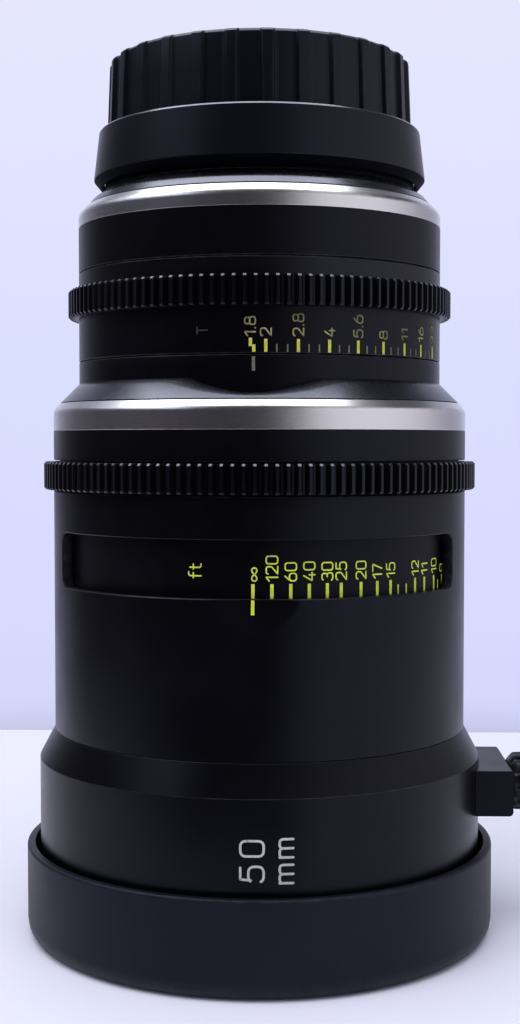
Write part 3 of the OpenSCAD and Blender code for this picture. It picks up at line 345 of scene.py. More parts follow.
class Shell:
    """Points in mm and faces, made into one piece of the object."""

    def __init__(self):
        self.points, self.faces, self.edge, self.normals = [], [], [], []

    def add(self, point, wear=0.0):
        """A point, with its share of edge wear."""
        self.points.append(point)
        self.edge.append(wear)
        return len(self.points) - 1

    def chain(self, points, wear=0.0):
        return [self.add(point, wear) for point in points]

    def strip(self, a, b, closed=False):
        """Faces between two chains of equal length."""
        n = len(a)
        for i in range(n if closed else n - 1):
            self.faces.append((a[i], a[(i + 1) % n], b[(i + 1) % n], b[i]))

    def skin(self, rings):
        """Faces between each ring and the next."""
        for a, b in zip(rings, rings[1:]):
            self.strip(a, b, closed=True)

    def fan(self, centre, rim):
        for i in range(len(rim) - 1):
            self.faces.append((centre, rim[i], rim[i + 1]))

    def lid(self, centre, ring):
        """Faces from a new centre point to a whole ring."""
        self.fan(self.add(centre), ring + ring[:1])

    def build(self, name, body, slot, stands_for=(), angle=SMOOTH_ANGLE, look=None):
        """Make the piece. Edges that turn by more than angle, in degrees, stay sharp."""
        mesh = bpy.data.meshes.new(name)
        mesh.from_pydata([[c * MM for c in p] for p in self.points], [], self.faces)
        if not self.normals:
            bm = bmesh.new()
            bm.from_mesh(mesh)
            bmesh.ops.recalc_face_normals(bm, faces=bm.faces)
            bm.to_mesh(mesh)
            bm.free()
        mesh.polygons.foreach_set("use_smooth", [True] * len(mesh.polygons))
        if self.normals:
            mesh.normals_split_custom_set(self.normals)
        else:
            mesh.set_sharp_from_angle(angle=math.radians(angle))
        mesh.attributes.new("edge", "FLOAT", "POINT").data.foreach_set("value", self.edge)
        mesh.materials.append(LOOKS[look or slot])
        obj = bpy.data.objects.new(name, mesh)
        scene.collection.objects.link(obj)
        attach(obj, body)
        if stands_for:
            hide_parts(*stands_for)
        return obj


def polar(r, a, z):
    """A point at angle a, in degrees from the index line at -Y towards +X."""
    return (r * math.sin(math.radians(a)), -r * math.cos(math.radians(a)), z)


def around_x(x, r, a, y=0.0):
    """A point at angle a, in degrees, round a line along +X at the pad's height."""
    return (x, y + r * math.cos(math.radians(a)), PAD_Z + r * math.sin(math.radians(a)))


def rounded(profile):
    """Corner points (r, z[, radius]) of a closed profile, anticlockwise, with their radii cut in.
    Gives (r, z, normal before, normal after, on an edge) for each point."""
    n = len(profile)
    out = []
    for i, p in enumerate(profile):
        here = Vector(p[:2])
        before = here - Vector(profile[i - 1][:2])
        after = Vector(profile[(i + 1) % n][:2]) - here
        d0, d1 = before.normalized(), after.normalized()
        n0, n1 = Vector((d0.y, -d0.x)), Vector((d1.y, -d1.x))
        if len(p) == 2:
            out.append((here.x, here.y, n0, n1, 0.0))
            continue
        turn = abs(d0.angle_signed(d1))
        cut = min(p[2] * math.tan(turn / 2), before.length * MOST_CUT, after.length * MOST_CUT)
        start, end = here - d0 * cut, here + d1 * cut
        for k in range(CORNER_STEPS + 1):
            t = k / CORNER_STEPS
            q = start * (1 - t) ** 2 + here * 2 * t * (1 - t) + end * t ** 2
            normal = n0.slerp(n1, t)
            out.append((q.x, q.y, normal, normal, 0.0 if k in (0, CORNER_STEPS) else 1.0))
    return out


def lathe(name, profile, body, slot, stands_for=(), look=None):
    """A turned piece with exact normals."""
    shell = Shell()
    steps = TURNED_STEPS
    points = rounded(profile)
    rows = []
    for r, z, _, _, wear in points:
        if r < TINY:
            rows.append([shell.add((0, 0, z))] * steps)
        else:
            rows.append([shell.add(polar(r, 360 * j / steps, z), wear) for j in range(steps)])

    def swing(normal, j):
        x, y, _ = polar(1, 360 * j / steps, 0)
        return (normal.x * x, normal.x * y, normal.y)

    for i in range(len(points)):
        k = (i + 1) % len(points)
        if points[i][0] < TINY and points[k][0] < TINY:
            continue
        for j in range(steps):
            beside = (j + 1) % steps
            corners = [(rows[i][j], points[i][3], j), (rows[i][beside], points[i][3], beside),
                       (rows[k][beside], points[k][2], beside), (rows[k][j], points[k][2], j)]
            if points[i][0] < TINY:
                corners = corners[1:]
            elif points[k][0] < TINY:
                corners = corners[:3]
            shell.faces.append(tuple(c[0] for c in corners))
            shell.normals.extend(swing(c[1], c[2]) for c in corners)
    return shell.build(name, body, slot, stands_for, look=look)


def silver_ring(name, node, bore, r, foot, shoulder, radius, top_r, top):
    """A silver ring whose shoulder is rounded by radius."""
    lathe(name, [(bore, foot), (r, foot, 0.15), (r, shoulder, radius), (top_r, top, 0.3), (bore, top)],
          "housing", "trim_silver", [node])


# A gear tooth: across and above the pitch circle, in modules, and its share of edge wear
GEAR_MODULE = 0.8
TOOTH = ((-1.24, -1.25, 0), (-0.56, 0.72, 0.2), (-0.40, 1.0, 1),
         (0.40, 1.0, 1), (0.56, 0.72, 0.2), (1.24, -1.25, 0))
FOCUS_TEETH = 137
IRIS_TEETH = 121
TOOTH_CHAMFER = 0.5
RIM_CHAMFER = 0.2
GLINT_FACES_UP = 0.3


def toothed(name, teeth, bore, foot, body, slot, stands_for, rim=None):
    """A gear ring with bevelled tooth tips and chamfered ends. A plain rim (radius, top) may stand on it."""
    shell = Shell()
    tip, head, cut = GEAR_MODULE * (teeth / 2 + 1), foot + GEAR_WIDTH, TOOTH_CHAMFER
    outline = []
    for i in range(teeth):
        for across, up, wear in TOOTH:
            r = GEAR_MODULE * (teeth / 2 + up)
            outline.append((r, 360 * i / teeth + math.degrees(across * GEAR_MODULE / r) + 90, wear))
    count = len(outline)
    rows = []
    # Rows up the gear: height, how far the tips are cut back, and a share of edge wear. The top ends of the
    # tips get the full share and the feet less: partly real wear, partly painted highlight where the light
    # from above falls on them
    for z, back, worn in ((foot, cut, 0.3), (foot + cut, 0, 0), (head - cut, 0, 0), (head, cut, 1)):
        rows.append([shell.add(polar(min(r, tip - back), a, z), wear * worn) for r, a, wear in outline])
    shell.skin(rows)
    bottom = shell.chain([polar(bore, a, foot) for _, a, _ in outline])
    shell.strip(bottom, rows[0], closed=True)
    upper, top = [rows[-1]], head
    if rim:
        r, top = rim
        for q, z, wear in ((r, head, 0.0), (r, top - RIM_CHAMFER, 0.0), (r - RIM_CHAMFER, top, 1.0)):
            upper.append(shell.chain([polar(q, a, z) for _, a, _ in outline], wear))
    upper.append(shell.chain([polar(bore, a, top) for _, a, _ in outline]))
    shell.skin(upper + [bottom])
    obj = shell.build(name, body, slot, stands_for, angle=30)
    # Upward-facing faces of the top chamfer get a painted glint
    obj.data.materials.append(LOOKS["tooth_painted_glint"])
    for face in obj.data.polygons[2 * count:3 * count]:
        if face.normal.z > GLINT_FACES_UP:
            face.material_index = 1


# Turned pieces, from the table upwards
lathe("front_cap_shell",
      [(0, 0), (CAP_R, 0, 4.6), (CAP_R, CAP_TOP, 0.9), (CAP_WIDE_BORE + 0.2, CAP_TOP, 0.2),
       (CAP_WIDE_BORE, CAP_TOP - 0.4), (CAP_WIDE_BORE, CAP_STEP + 1), (CAP_BORE, CAP_STEP),
       (CAP_BORE, CAP_FLOOR), (0, CAP_FLOOR)],
      "front_cover", "front_cap_plastic", ["front_cap"])
lathe("front_barrel_shell",
      [(FRONT_BORE, CAP_FLOOR, 0.2), (FRONT_R - 0.6, CAP_FLOOR, 0.2), (FRONT_R, CAP_FLOOR + 0.6, 0.2),
       (FRONT_R, FRONT_SHOULDER, 0.5), (SLEEVE_R, SLEEVE_FOOT, 0.15), (SLEEVE_BORE, SLEEVE_FOOT),
       (SLEEVE_BORE, SEAT_TOP), (SEAT_BORE, SEAT_TOP), (SEAT_BORE, SEAT_FOOT), (FRONT_BORE, SEAT_FOOT)],
      "housing", "barrel_black", ["front_barrel"])
tread = (STAIR_OUTER_R - STAIR_INNER_R) / STAIR_STEPS
rise = (STAIR_TOP - CAP_FLOOR) / STAIR_STEPS
stair = []
for i in range(STAIR_STEPS):
    for edge in (i, i + 1):
        stair.append((STAIR_INNER_R + tread * edge, STAIR_TOP - rise * i))
lathe("front_bezel_steps",
      [(STAIR_OUTER_R, CAP_FLOOR, 0.1), (BEZEL_R, CAP_FLOOR), (BEZEL_R, BEZEL_TOP), (BEZEL_BORE, BEZEL_TOP),
       (BEZEL_BORE, STAIR_TOP)] + stair,
      "housing", "bezel_black", ["front_bezel"])
lathe("middle_housing_band",
      [(BAND_SPIGOT_R, BAND_FOOT), (SLEEVE_R, BAND_FOOT, 0.3), (SLEEVE_R, TRIM_FOOT, 0.12),
       (TRIM_SEAT_R, TRIM_FOOT), (TRIM_SEAT_R, COLLAR_FOOT), (BAND_LIP_BORE, COLLAR_FOOT),
       (BAND_LIP_BORE, BAND_LIP_FOOT), (BAND_BORE, BAND_LIP_FOOT), (BAND_BORE, BAND_SPIGOT_TOP),
       (BAND_SPIGOT_R, BAND_SPIGOT_TOP)],
      "housing", "sleeve_black", ["mid_housing"])
silver_ring("middle_silver_ring", "mid_trim_ring", TRIM_BORE, SLEEVE_R, TRIM_FOOT, TRIM_SHOULDER, 2.1,
            COLLAR_FOOT_R, COLLAR_FOOT)
lathe("iris_ring_shell",
      [(REAR_BORE, IRIS_FOOT), (REAR_R, IRIS_FOOT, 0.3), (REAR_R, IRIS_GEAR_FOOT, 0.1),
       (IRIS_SEAT_R, IRIS_GEAR_FOOT), (IRIS_SEAT_R, IRIS_TOP), (REAR_BORE, IRIS_TOP)],
      "iris_control", "ring_black", ["iris_ring"])
lathe("rear_barrel_shell",
      [(REAR_BORE, REAR_FOOT), (REAR_R, REAR_FOOT, 0.3), (REAR_R, REAR_TRIM_FOOT, 0.12),
       (REAR_LIP_BORE, REAR_TRIM_FOOT), (REAR_LIP_BORE, REAR_LIP_FOOT), (REAR_BORE, REAR_LIP_FOOT)],
      "housing", "rear_black", ["rear_barrel"])
silver_ring("rear_silver_ring", "rear_trim_ring", REAR_TRIM_BORE, REAR_R, REAR_TRIM_FOOT,
            REAR_TRIM_SHOULDER, 2.6, REAR_TRIM_TOP_R, CONE_FOOT)
cone = lathe("mount_cone",
             [(CONE_BORE, REAR_TRIM_FOOT), (CONE_SPIGOT_R, REAR_TRIM_FOOT), (CONE_SPIGOT_R, CONE_FOOT),
              (CONE_FOOT_R - 0.45, CONE_FOOT), (CONE_FOOT_R, CONE_FOOT + 0.3, 0.05),
              (CONE_BREAK_R, CONE_BREAK, 3.0),
              (CONE_NECK_R, CONE_NECK, 0.3), (CONE_NECK_R, CONE_TOP, 0.2), (CONE_BORE, CONE_TOP)],
             "housing", "collar_black", ["mount_base"], look="base_black")
# The neck, under the rear cap's skirt, gets painted shade
cone.data.materials.append(LOOKS["neck_painted_shade"])
for face in cone.data.polygons:
    if face.center.z > (CONE_NECK - 0.1) * MM:
        face.material_index = 1
toothed("focus_gear_teeth", FOCUS_TEETH, FOCUS_GEAR_BORE, FOCUS_GEAR_FOOT,
        "focus_ring", "gear_black", ["focus_gear_ring"])
toothed("iris_gear_teeth", IRIS_TEETH, IRIS_GEAR_BORE, IRIS_GEAR_FOOT,
        "iris_control", "gear_black", ["iris_gear_ring"], rim=(REAR_R, IRIS_TOP))


# The dish under the focus index line: it starts at the window's lower edge and narrows downwards
DISH_LENGTH = 7.8
DISH_DEPTH = 1.7
DISH_R = 11.5
DISH_CENTRE_Z = 94.2
DISH_SOFTNESS = 1.25


def dish(along, z):
    """Depth of the dish at a distance along the sleeve from the index line."""
    t = (WINDOW_LOW - z) / DISH_LENGTH
    if not 0 <= t < 1:
        return 0.0
    wide = math.sqrt(DISH_R ** 2 - (z - DISH_CENTRE_Z) ** 2)
    return DISH_DEPTH * (1 - t) * max(0.0, 1 - (along / wide) ** 2) ** DISH_SOFTNESS


WINDOW_CORNER_R = 3.0
WINDOW_CORNER_STEPS = 6
WINDOW_BEVEL = 0.22


def window_corner(along, z, start, end):
    """A quarter round of the window's rim: (along, z, normal along, normal z) for each point."""
    out = []
    for k in range(WINDOW_CORNER_STEPS + 1):
        a = math.radians(start + (end - start) * k / WINDOW_CORNER_STEPS)
        c, d = math.cos(a), math.sin(a)
        out.append((along + WINDOW_CORNER_R * c, z + WINDOW_CORNER_R * d, c, d))
    return out


def sleeve():
    """The sleeve with its window, the bevel round it and the soft dish under the index line."""
    outside, low, high, slant = SLEEVE_R, WINDOW_LOW, WINDOW_HIGH, WINDOW_BEVEL
    half = outside * math.radians(WINDOW_HALF_ANGLE)
    corner = WINDOW_CORNER_R
    straight = half - corner
    reach, side_steps, dish_steps, back_steps = 12.0, 24, 32, 92
    side = [straight - (straight - reach) * k / side_steps for k in range(1, side_steps)]
    rim_low = window_corner(-straight, low + corner, 180, 270)
    rim_low += [(-u, low, 0, -1) for u in side]
    rim_low += [(reach * (2 * k / dish_steps - 1), low, 0, -1) for k in range(dish_steps + 1)]
    rim_low += [(u, low, 0, -1) for u in reversed(side)]
    rim_low += window_corner(straight, low + corner, 270, 360)
    rim_high = window_corner(-straight, high - corner, 180, 90)
    rim_high += [(straight * (k / side_steps - 1), high, 0, 1) for k in range(1, 2 * side_steps)]
    rim_high += window_corner(straight, high - corner, 90, 0)
    shell = Shell()

    def at(r, along, z):
        return polar(r - dish(along, z), math.degrees(along / outside), z)

    behind = 360 - 2 * WINDOW_HALF_ANGLE
    back = [math.radians(WINDOW_HALF_ANGLE + behind * k / back_steps) for k in range(1, back_steps)]
    # Rows from an end to the window, as shares of the way, close together beside the dish
    shares = [0.35, 0.7] + [0.78 + 0.22 * k / 14 for k in range(15)]
    # Each end of the sleeve: height, radius and wear of its chamfer's rows
    low_end = [(SLEEVE_FOOT, outside - 0.2, 0.0), (SLEEVE_FOOT + 0.2, outside, 0.0)]
    high_end = [(SLEEVE_TOP, outside - 0.3, 1.0), (SLEEVE_TOP - 0.09, outside - 0.09, 1.0),
                (SLEEVE_TOP - 0.3, outside, 0.0)]
    halves = []
    for rim, end in ((rim_low, low_end), (rim_high, high_end)):
        outer = [(u + slant * nu, z + slant * nz) for u, z, nu, nz in rim]
        outer += [(outside * a, rim[0][1]) for a in back]
        rows = [shell.chain([at(r, u, z) for u, _ in outer], worn) for z, r, worn in end]
        far = end[-1][0]
        rows += [shell.chain([at(outside, u, far + (z - far) * f) for u, z in outer]) for f in shares]
        shell.skin(rows)
        inner = shell.chain([at(SLEEVE_BORE, u, end[0][0]) for u, _ in outer])
        shell.strip(inner, rows[0], closed=True)
        count = len(rim)
        bevel = shell.chain([at(outside - slant, p[0], p[1]) for p in rim], 1.0)
        shell.strip(rows[-1][:count], bevel)
        wall = shell.chain([polar(SLEEVE_BORE, math.degrees(p[0] / outside), p[1]) for p in rim]
                           + [polar(SLEEVE_BORE, math.degrees(a), rim[0][1]) for a in back])
        shell.strip(bevel, wall[:count])
        shell.strip(wall, inner, closed=True)
        halves.append((rows[-1], bevel, wall, count))
    # The plain band at the back, outside and inside, and the window's upright sides
    lower, upper = halves
    for k in (0, 2):
        a = lower[k][lower[3] - 1:] + lower[k][:1]
        d = upper[k][upper[3] - 1:] + upper[k][:1]
        shell.strip(a, d)
    for i, k in ((0, 0), (lower[3] - 1, upper[3] - 1)):
        shell.strip([row[i] for row in lower[:3]], [row[k] for row in upper[:3]])
    shell.build("window_sleeve_shell", "housing", "sleeve_black", ["window_sleeve"], angle=32)


# The scoop in the index collar: a round cut on the side of the index lines
SCOOP_R = 31.0
SCOOP_CENTRE_Z = 168.5
SCOOP_STEPS = 20
SEAM_HEIGHT = 0.26
SEAM_DEPTH = 0.6
# A soft row on the cone, at a share of its height. It dips before the scoop, within these degrees
SOFT_SHARE = 0.78
SOFT_DIP = 0.33
DIP_FROM = 26
DIP_FULL = 16


def collar():
    """The index collar: a cone over a fine seam, the scoop and a straight band."""
    foot, outside, bore, z0, z1, top = COLLAR_FOOT_R, REAR_R, REAR_BORE, COLLAR_FOOT, COLLAR_STEP, COLLAR_TOP
    reach = math.sqrt(SCOOP_R ** 2 - (SCOOP_CENTRE_Z - z1) ** 2)
    xs = [reach * math.sin(math.radians(90 * k / SCOOP_STEPS)) for k in range(-SCOOP_STEPS, SCOOP_STEPS + 1)]
    back_steps = 120
    shell = Shell()

    def cone_r(z):
        return foot + (outside - foot) * (z - z0) / (z1 - z0)

    step = [(x, SCOOP_CENTRE_Z - math.sqrt(SCOOP_R ** 2 - x * x)) for x in xs]
    low = [(math.degrees(math.asin(x / cone_r(z))), z) for x, z in step]
    side = low[-1][0]
    back = [(side + (360 - 2 * side) * k / back_steps, z1) for k in range(1, back_steps)]
    low += back
    high = [(math.degrees(math.asin(x / outside)), z) for x, z in step] + back
    rows = [shell.chain([polar(r, a, z0) for a, _ in low]) for r in (bore, foot - SEAM_DEPTH)]
    seam = [SEAM_HEIGHT / (z - z0) for _, z in low]
    away = [abs((a + 180) % 360 - 180) for a, _ in low]
    near = [max(0.0, min(1.0, (DIP_FROM - a) / (DIP_FROM - DIP_FULL))) for a in away]
    soft = [SOFT_SHARE - SOFT_DIP * w * w * (3 - 2 * w) for w in near]
    for level in (seam, soft, [1.0] * len(low)):
        up = [(a, z0 + (z - z0) * f) for f, (a, z) in zip(level, low)]
        rows.append(shell.chain([polar(cone_r(z), a, z) for a, z in up]))
    chamfer, mid = 0.25, 0.07
    for f in (0, 0.2, 0.6, 1):
        rows.append(shell.chain([polar(outside, a, z + (top - chamfer - z) * f) for a, z in high]))
    for r, z, wear in ((outside - mid, top - mid, 1.0), (outside - chamfer, top, 1.0), (bore, top, 0.0)):
        rows.append(shell.chain([polar(r, a, z) for a, _ in high], wear))
    shell.skin(rows + rows[:1])
    obj = shell.build("index_collar_shell", "housing", "collar_black", ["index_collar"], angle=62)
    obj.data.materials.append(LOOKS["cone_black"])
    for face in obj.data.polygons[:4 * len(low)]:
        face.material_index = 1


RIB_COUNT = 28
RIB_START = 4.6
# A rib, in degrees from its middle: its share of the rib's height and of edge wear
RIB = ((-6.43, 0, 0), (-4.2, 0, 0), (-2.85, 0, 0), (-2.65, 0.06, 0), (-2.0, 0.9, 0.6), (-1.75, 1, 1),
       (0, 1, 0), (1.75, 1, 1), (2.0, 0.9, 0.6), (2.65, 0.06, 0), (2.85, 0, 0), (4.2, 0, 0))
# The grip's side upwards: height, radius between ribs, radius on ribs, edge wear
GRIP_SIDE = ((GRIP_FOOT, 38.0, 39.0, 0), (GRIP_FOOT + 0.4, 37.98, 38.98, 0), (213.4, 37.71, 38.66, 0),
             (GRIP_TOP - 1.2, 37.41, 38.31, 0), (GRIP_TOP - 0.8, 37.36, 38.22, 0.5),
             (GRIP_TOP - 0.45, 37.1, 37.85, 1), (GRIP_TOP - 0.2, 36.8, 37.5, 1), (GRIP_TOP, 36.5, 36.6, 0.5))
# The grip's top inwards, with its two fine grooves: radius and depth
GRIP_GROOVES = ((33.2, 0), (32.8, 0.5), (31.9, 0.5), (31.5, 0),
                (12.2, 0), (11.9, 0.3), (11.6, 0.3), (11.3, 0))


def rear_cap():
    """The rear cap: a drafted skirt under a ribbed grip."""
    skirt = lathe("rear_cap_skirt",
                  [(SKIRT_BORE, SKIRT_FOOT, 0.1), (SKIRT_BORE + 0.5, SKIRT_FOOT, 0.15),
                   (SKIRT_R, SKIRT_FLARE, 0.4), (SKIRT_RIM_R, SKIRT_RIM, 0.15),
                   (SKIRT_RIM_R - 0.38, GRIP_FOOT, 0.15), (GRIP_BORE + 1.1, GRIP_FOOT),
                   (GRIP_BORE, GRIP_FOOT - 1), (GRIP_BORE, SKIRT_INNER_FOOT),
                   (SKIRT_BORE, SKIRT_INNER_FOOT)],
                  "rear_cover", "rear_cap_plastic")
    skirt.data.materials.append(LOOKS["skirt_painted_shade"])
    skirt.data.materials.append(LOOKS["skirt_rim_painted_highlight"])
    for face in skirt.data.polygons:
        # Faces under the skirt's flare get painted shade
        if face.center.z < (SKIRT_FLARE - 0.14) * MM:
            face.material_index = 1
        # Painted highlight on the rounded top of the skirt's rim, where the light from above catches it
        elif face.center.z > (SKIRT_RIM - 0.05) * MM and face.center.xy.length > (SKIRT_RIM_R - 0.63) * MM:
            face.material_index = 2
    shell = Shell()
    spots = [(360 / RIB_COUNT * i + RIB_START + a, h, wear) for i in range(RIB_COUNT) for a, h, wear in RIB]
    rows = []
    for z, core, rib, worn in GRIP_SIDE:
        ring = [(polar(core + (rib - core) * h, a, z), max(wear * 0.6, worn)) for a, h, wear in spots]
        rows.append([shell.add(point, wear) for point, wear in ring])
    for r, dip in GRIP_GROOVES:
        rows.append(shell.chain([polar(r, a, GRIP_TOP - dip) for a, _, _ in spots]))
    shell.skin(rows)
    shell.lid((0, 0, GRIP_TOP), rows[-1])
    bore = ((GRIP_BORE, GRIP_FOOT), (GRIP_BORE - 0.7, GRIP_ROOF))
    under = [shell.chain([polar(r, a, z) for a, _, _ in spots]) for r, z in bore]
    shell.skin([rows[0]] + under)
    shell.lid((0, 0, GRIP_ROOF), under[-1])
    shell.build("rear_cap_grip", "rear_cover", "rear_cap_plastic", ["rear_cap"], angle=26)


KNOB_R = 7.4
FLUTE_COUNT = 12
FLUTE_STEPS = 14
FLUTE_R = 1.1
FLUTE_CENTRE_R = KNOB_R + 0.385
# The knob outwards, then the hollow in its end: place along +X, radius, edge wear
KNOB_SIDE = ((64.8, 5.6, 0), (65.1, 6.0, 1), (66.1, 7.1, 0.6), (66.5, 7.33, 0.6), (67.0, KNOB_R, 0),
             (76.7, KNOB_R, 0), (77.1, 7.33, 0.8), (77.5, 7.05, 1), (77.8, 6.5, 0.6), (77.8, 5.4, 0),
             (77.5, 5.2, 0), (77.5, 2.2, 0))
KNOB_BUTTON_X = 77.6
STUD = ((65.2, 3.0), (58.4, 3.0), (57.9, 2.5))


def knob():
    """The hand screw: a fluted knob on a stud, along +X."""
    shell = Shell()
    pitch = 360 / FLUTE_COUNT

    def fluted(r, a):
        """Radius r at angle a, less the flute there."""
        d = math.radians((a + pitch / 2) % pitch - pitch / 2)
        across = FLUTE_CENTRE_R * math.sin(d)
        if abs(across) >= FLUTE_R:
            return r
        return min(r, FLUTE_CENTRE_R * math.cos(d) - math.sqrt(FLUTE_R ** 2 - across ** 2))

    angles = [pitch * k / FLUTE_STEPS for k in range(FLUTE_COUNT * FLUTE_STEPS)]
    rows = [shell.chain([around_x(x, fluted(r, a), a) for a in angles], wear) for x, r, wear in KNOB_SIDE]
    shell.skin(rows)
    shell.lid((KNOB_BUTTON_X, 0, PAD_Z), rows[-1])
    stud = [shell.chain([around_x(x, r, a) for a in angles]) for x, r in STUD]
    shell.skin([rows[0]] + stud)
    shell.lid((STUD[-1][0], 0, PAD_Z), stud[-1])
    shell.build("hand_screw_knob", "hand_screw", "knob_black", ["support_hand_screw"], angle=32)


PAD_SCREW_Y = 11.0
PAD_SCREW_STEPS = 36
PAD_SOCKET_FLOOR = 63.3
# A pad screw outwards, then its socket inwards: place along +X, radius, edge wear, six-sided
PAD_SCREW = ((53.8, 1.0, 0, False), (63.1, 1.0, 0, False), (63.1, 1.7, 0, False), (64.05, 1.7, 0.3, False),
             (64.3, 1.45, 1, False), (64.3, 1.0, 0.4, True), (63.5, 0.95, 0, True))


def pad_screws():
    """Two socket screws in the pad, along +X: a shank, a chamfered head and a hexagon socket."""
    shell = Shell()

    def reach(r, a, six_sided):
        """Radius at angle a of a round, or of a hexagon whose corners lie on it."""
        if not six_sided:
            return r
        return r * math.cos(math.radians(30)) / math.cos(math.radians(a % 60 - 30))

    angles = [360 * k / PAD_SCREW_STEPS for k in range(PAD_SCREW_STEPS)]
    for y in (-PAD_SCREW_Y, PAD_SCREW_Y):
        rows = []
        for x, r, wear, six_sided in PAD_SCREW:
            rows.append(shell.chain([around_x(x, reach(r, a, six_sided), a, y) for a in angles], wear))
        shell.skin(rows)
        shell.lid((PAD_SCREW[0][0], y, PAD_Z), rows[0])
        shell.lid((PAD_SOCKET_FLOOR, y, PAD_Z), rows[-1])
    shell.build("pad_socket_screws", "housing", "fastener_steel", ["support_pad_screws"], angle=30)


sleeve()
collar()
rear_cap()
knob()
pad_screws()


# Scales
def bow(cx, cy, rx, ry, a0, a1, n=18, fullness=0.66):
    """A curve with full, squarish corners."""
    turns = [math.radians(a0 + (a1 - a0) * k / n) for k in range(n + 1)]
    full = [[math.copysign(abs(v) ** fullness, v) for v in (math.cos(t), math.sin(t))] for t in turns]
    return [(cx + rx * x, cy + ry * y) for x, y in full]


def crossed_loop(n=36):
    """The sign for infinity."""
    out = []
    for k in range(n + 1):
        t = 2 * math.pi * k / n
        lean = math.sin(t) / (1 + math.cos(t) ** 2)
        out.append((0.52 + 0.52 * lean, 0.38 + 0.62 * lean * math.cos(t)))
    return out


# Width and strokes of each sign in a box of height 1
SIGNS = {
    "0": (0.60, [bow(0.3, 0.7, 0.3, 0.3, 0, 180) + bow(0.3, 0.3, 0.3, 0.3, 180, 360) + [(0.6, 0.7)]]),
    "1": (0.34, [[(0.0, 0.74), (0.3, 1.0)], [(0.3, 1.0), (0.3, 0.0)]]),
    "2": (0.58, [bow(0.29, 0.71, 0.29, 0.29, 165, -38) + [(0.0, 0.0)], [(0.0, 0.0), (0.58, 0.0)]]),
    "3": (0.58, [bow(0.28, 0.75, 0.26, 0.25, 155, -90), bow(0.28, 0.26, 0.3, 0.26, 90, -155)]),
    "4": (0.64, [[(0.4, 1.0), (0.0, 0.26)], [(0.0, 0.26), (0.64, 0.26)], [(0.46, 0.5), (0.46, 0.0)]]),
    "5": (0.60, [[(0.54, 1.0), (0.09, 1.0)], [(0.09, 1.0), (0.05, 0.55)],
                 bow(0.28, 0.33, 0.31, 0.33, 140, -150)]),
    "6": (0.60, [bow(0.3, 0.31, 0.3, 0.31, 0, 360, 22),
                 [(0.0, 0.31), (0.03, 0.5), (0.14, 0.72), (0.38, 1.0)]]),
    "7": (0.56, [[(0.0, 1.0), (0.56, 1.0)], [(0.56, 1.0), (0.2, 0.0)]]),
    "8": (0.60, [bow(0.3, 0.76, 0.25, 0.24, 0, 360, 20), bow(0.3, 0.27, 0.3, 0.27, 0, 360, 22)]),
    "9": (0.60, [bow(0.3, 0.69, 0.3, 0.31, 0, 360, 22),
                 [(0.6, 0.69), (0.57, 0.5), (0.46, 0.28), (0.22, 0.0)]]),
    ".": (0.08, [[(0.04, 0.0), (0.04, 0.05)]]),
    "o": (1.04, [crossed_loop()]),
    "T": (0.60, [[(0.0, 1.0), (0.6, 1.0)], [(0.3, 1.0), (0.3, 0.0)]]),
    "f": (0.40, [[(0.14, 0.0), (0.14, 0.8)] + bow(0.34, 0.8, 0.2, 0.2, 180, 80, 6),
                 [(0.0, 0.62), (0.36, 0.62)]]),
    "t": (0.36, [[(0.12, 0.9), (0.12, 0.2)] + bow(0.3, 0.2, 0.18, 0.2, 180, 280, 6),
                 [(0.0, 0.62), (0.34, 0.62)]]),
    "m": (0.86, [[(0.0, 0.66), (0.0, 0.0)],
                 [(0.0, 0.44)] + bow(0.215, 0.44, 0.215, 0.22, 180, 0, 10) + [(0.43, 0.0)],
                 [(0.43, 0.44)] + bow(0.645, 0.44, 0.215, 0.22, 180, 0, 10) + [(0.86, 0.0)]]),
}
BAR_STEP = 0.25
ROUND_END_STEPS = 12


class Scale(Shell):
    """Paint on a turned surface of radius r."""

    def __init__(self, r):
        super().__init__()
        self.r = r + PAINT_LIFT

    def spot(self, angle, across, z):
        """A point at a distance to the left of an angle."""
        return polar(self.r, angle - math.degrees(across / self.r), z)

    def bar(self, angle, width, z0, z1):
        n = max(2, int(width / BAR_STEP))
        across = [width * (0.5 - k / n) for k in range(n + 1)]
        self.strip(*[self.chain([self.spot(angle, u, z) for u in across]) for z in (z0, z1)])

    def stroke(self, line, width, angle, z0):
        """A line of (up the axis, to the left) with round ends."""
        h = width / 2
        left, right = [], []
        for i, p in enumerate(line):
            a, b = Vector(line[max(0, i - 1)]), Vector(line[min(len(line) - 1, i + 1)])
            d = (b - a).normalized()
            aside = Vector((-d.y, d.x)) * h
            left.append(Vector(p) + aside)
            right.append(Vector(p) - aside)
        self.strip(*[self.chain([self.spot(angle, p.y, z0 + p.x) for p in side]) for side in (left, right)])
        turns = [2 * math.pi * k / ROUND_END_STEPS for k in range(ROUND_END_STEPS + 1)]
        for up, across in (line[0], line[-1]):
            centre = self.add(self.spot(angle, across, z0 + up))
            rim = [self.spot(angle, across + h * math.sin(t), z0 + up + h * math.cos(t)) for t in turns]
            self.fan(centre, self.chain(rim))

    def write(self, text, angle, z0, height, width, gap, stretch):
        """Text that reads up the axis from z0, centred on angle."""
        z = z0
        for sign in text:
            wide, strokes = SIGNS[sign]
            for line in strokes:
                self.stroke([(x * height * stretch, (y - 0.5) * height) for x, y in line], width, angle, z)
            z += (wide * stretch + gap) * height


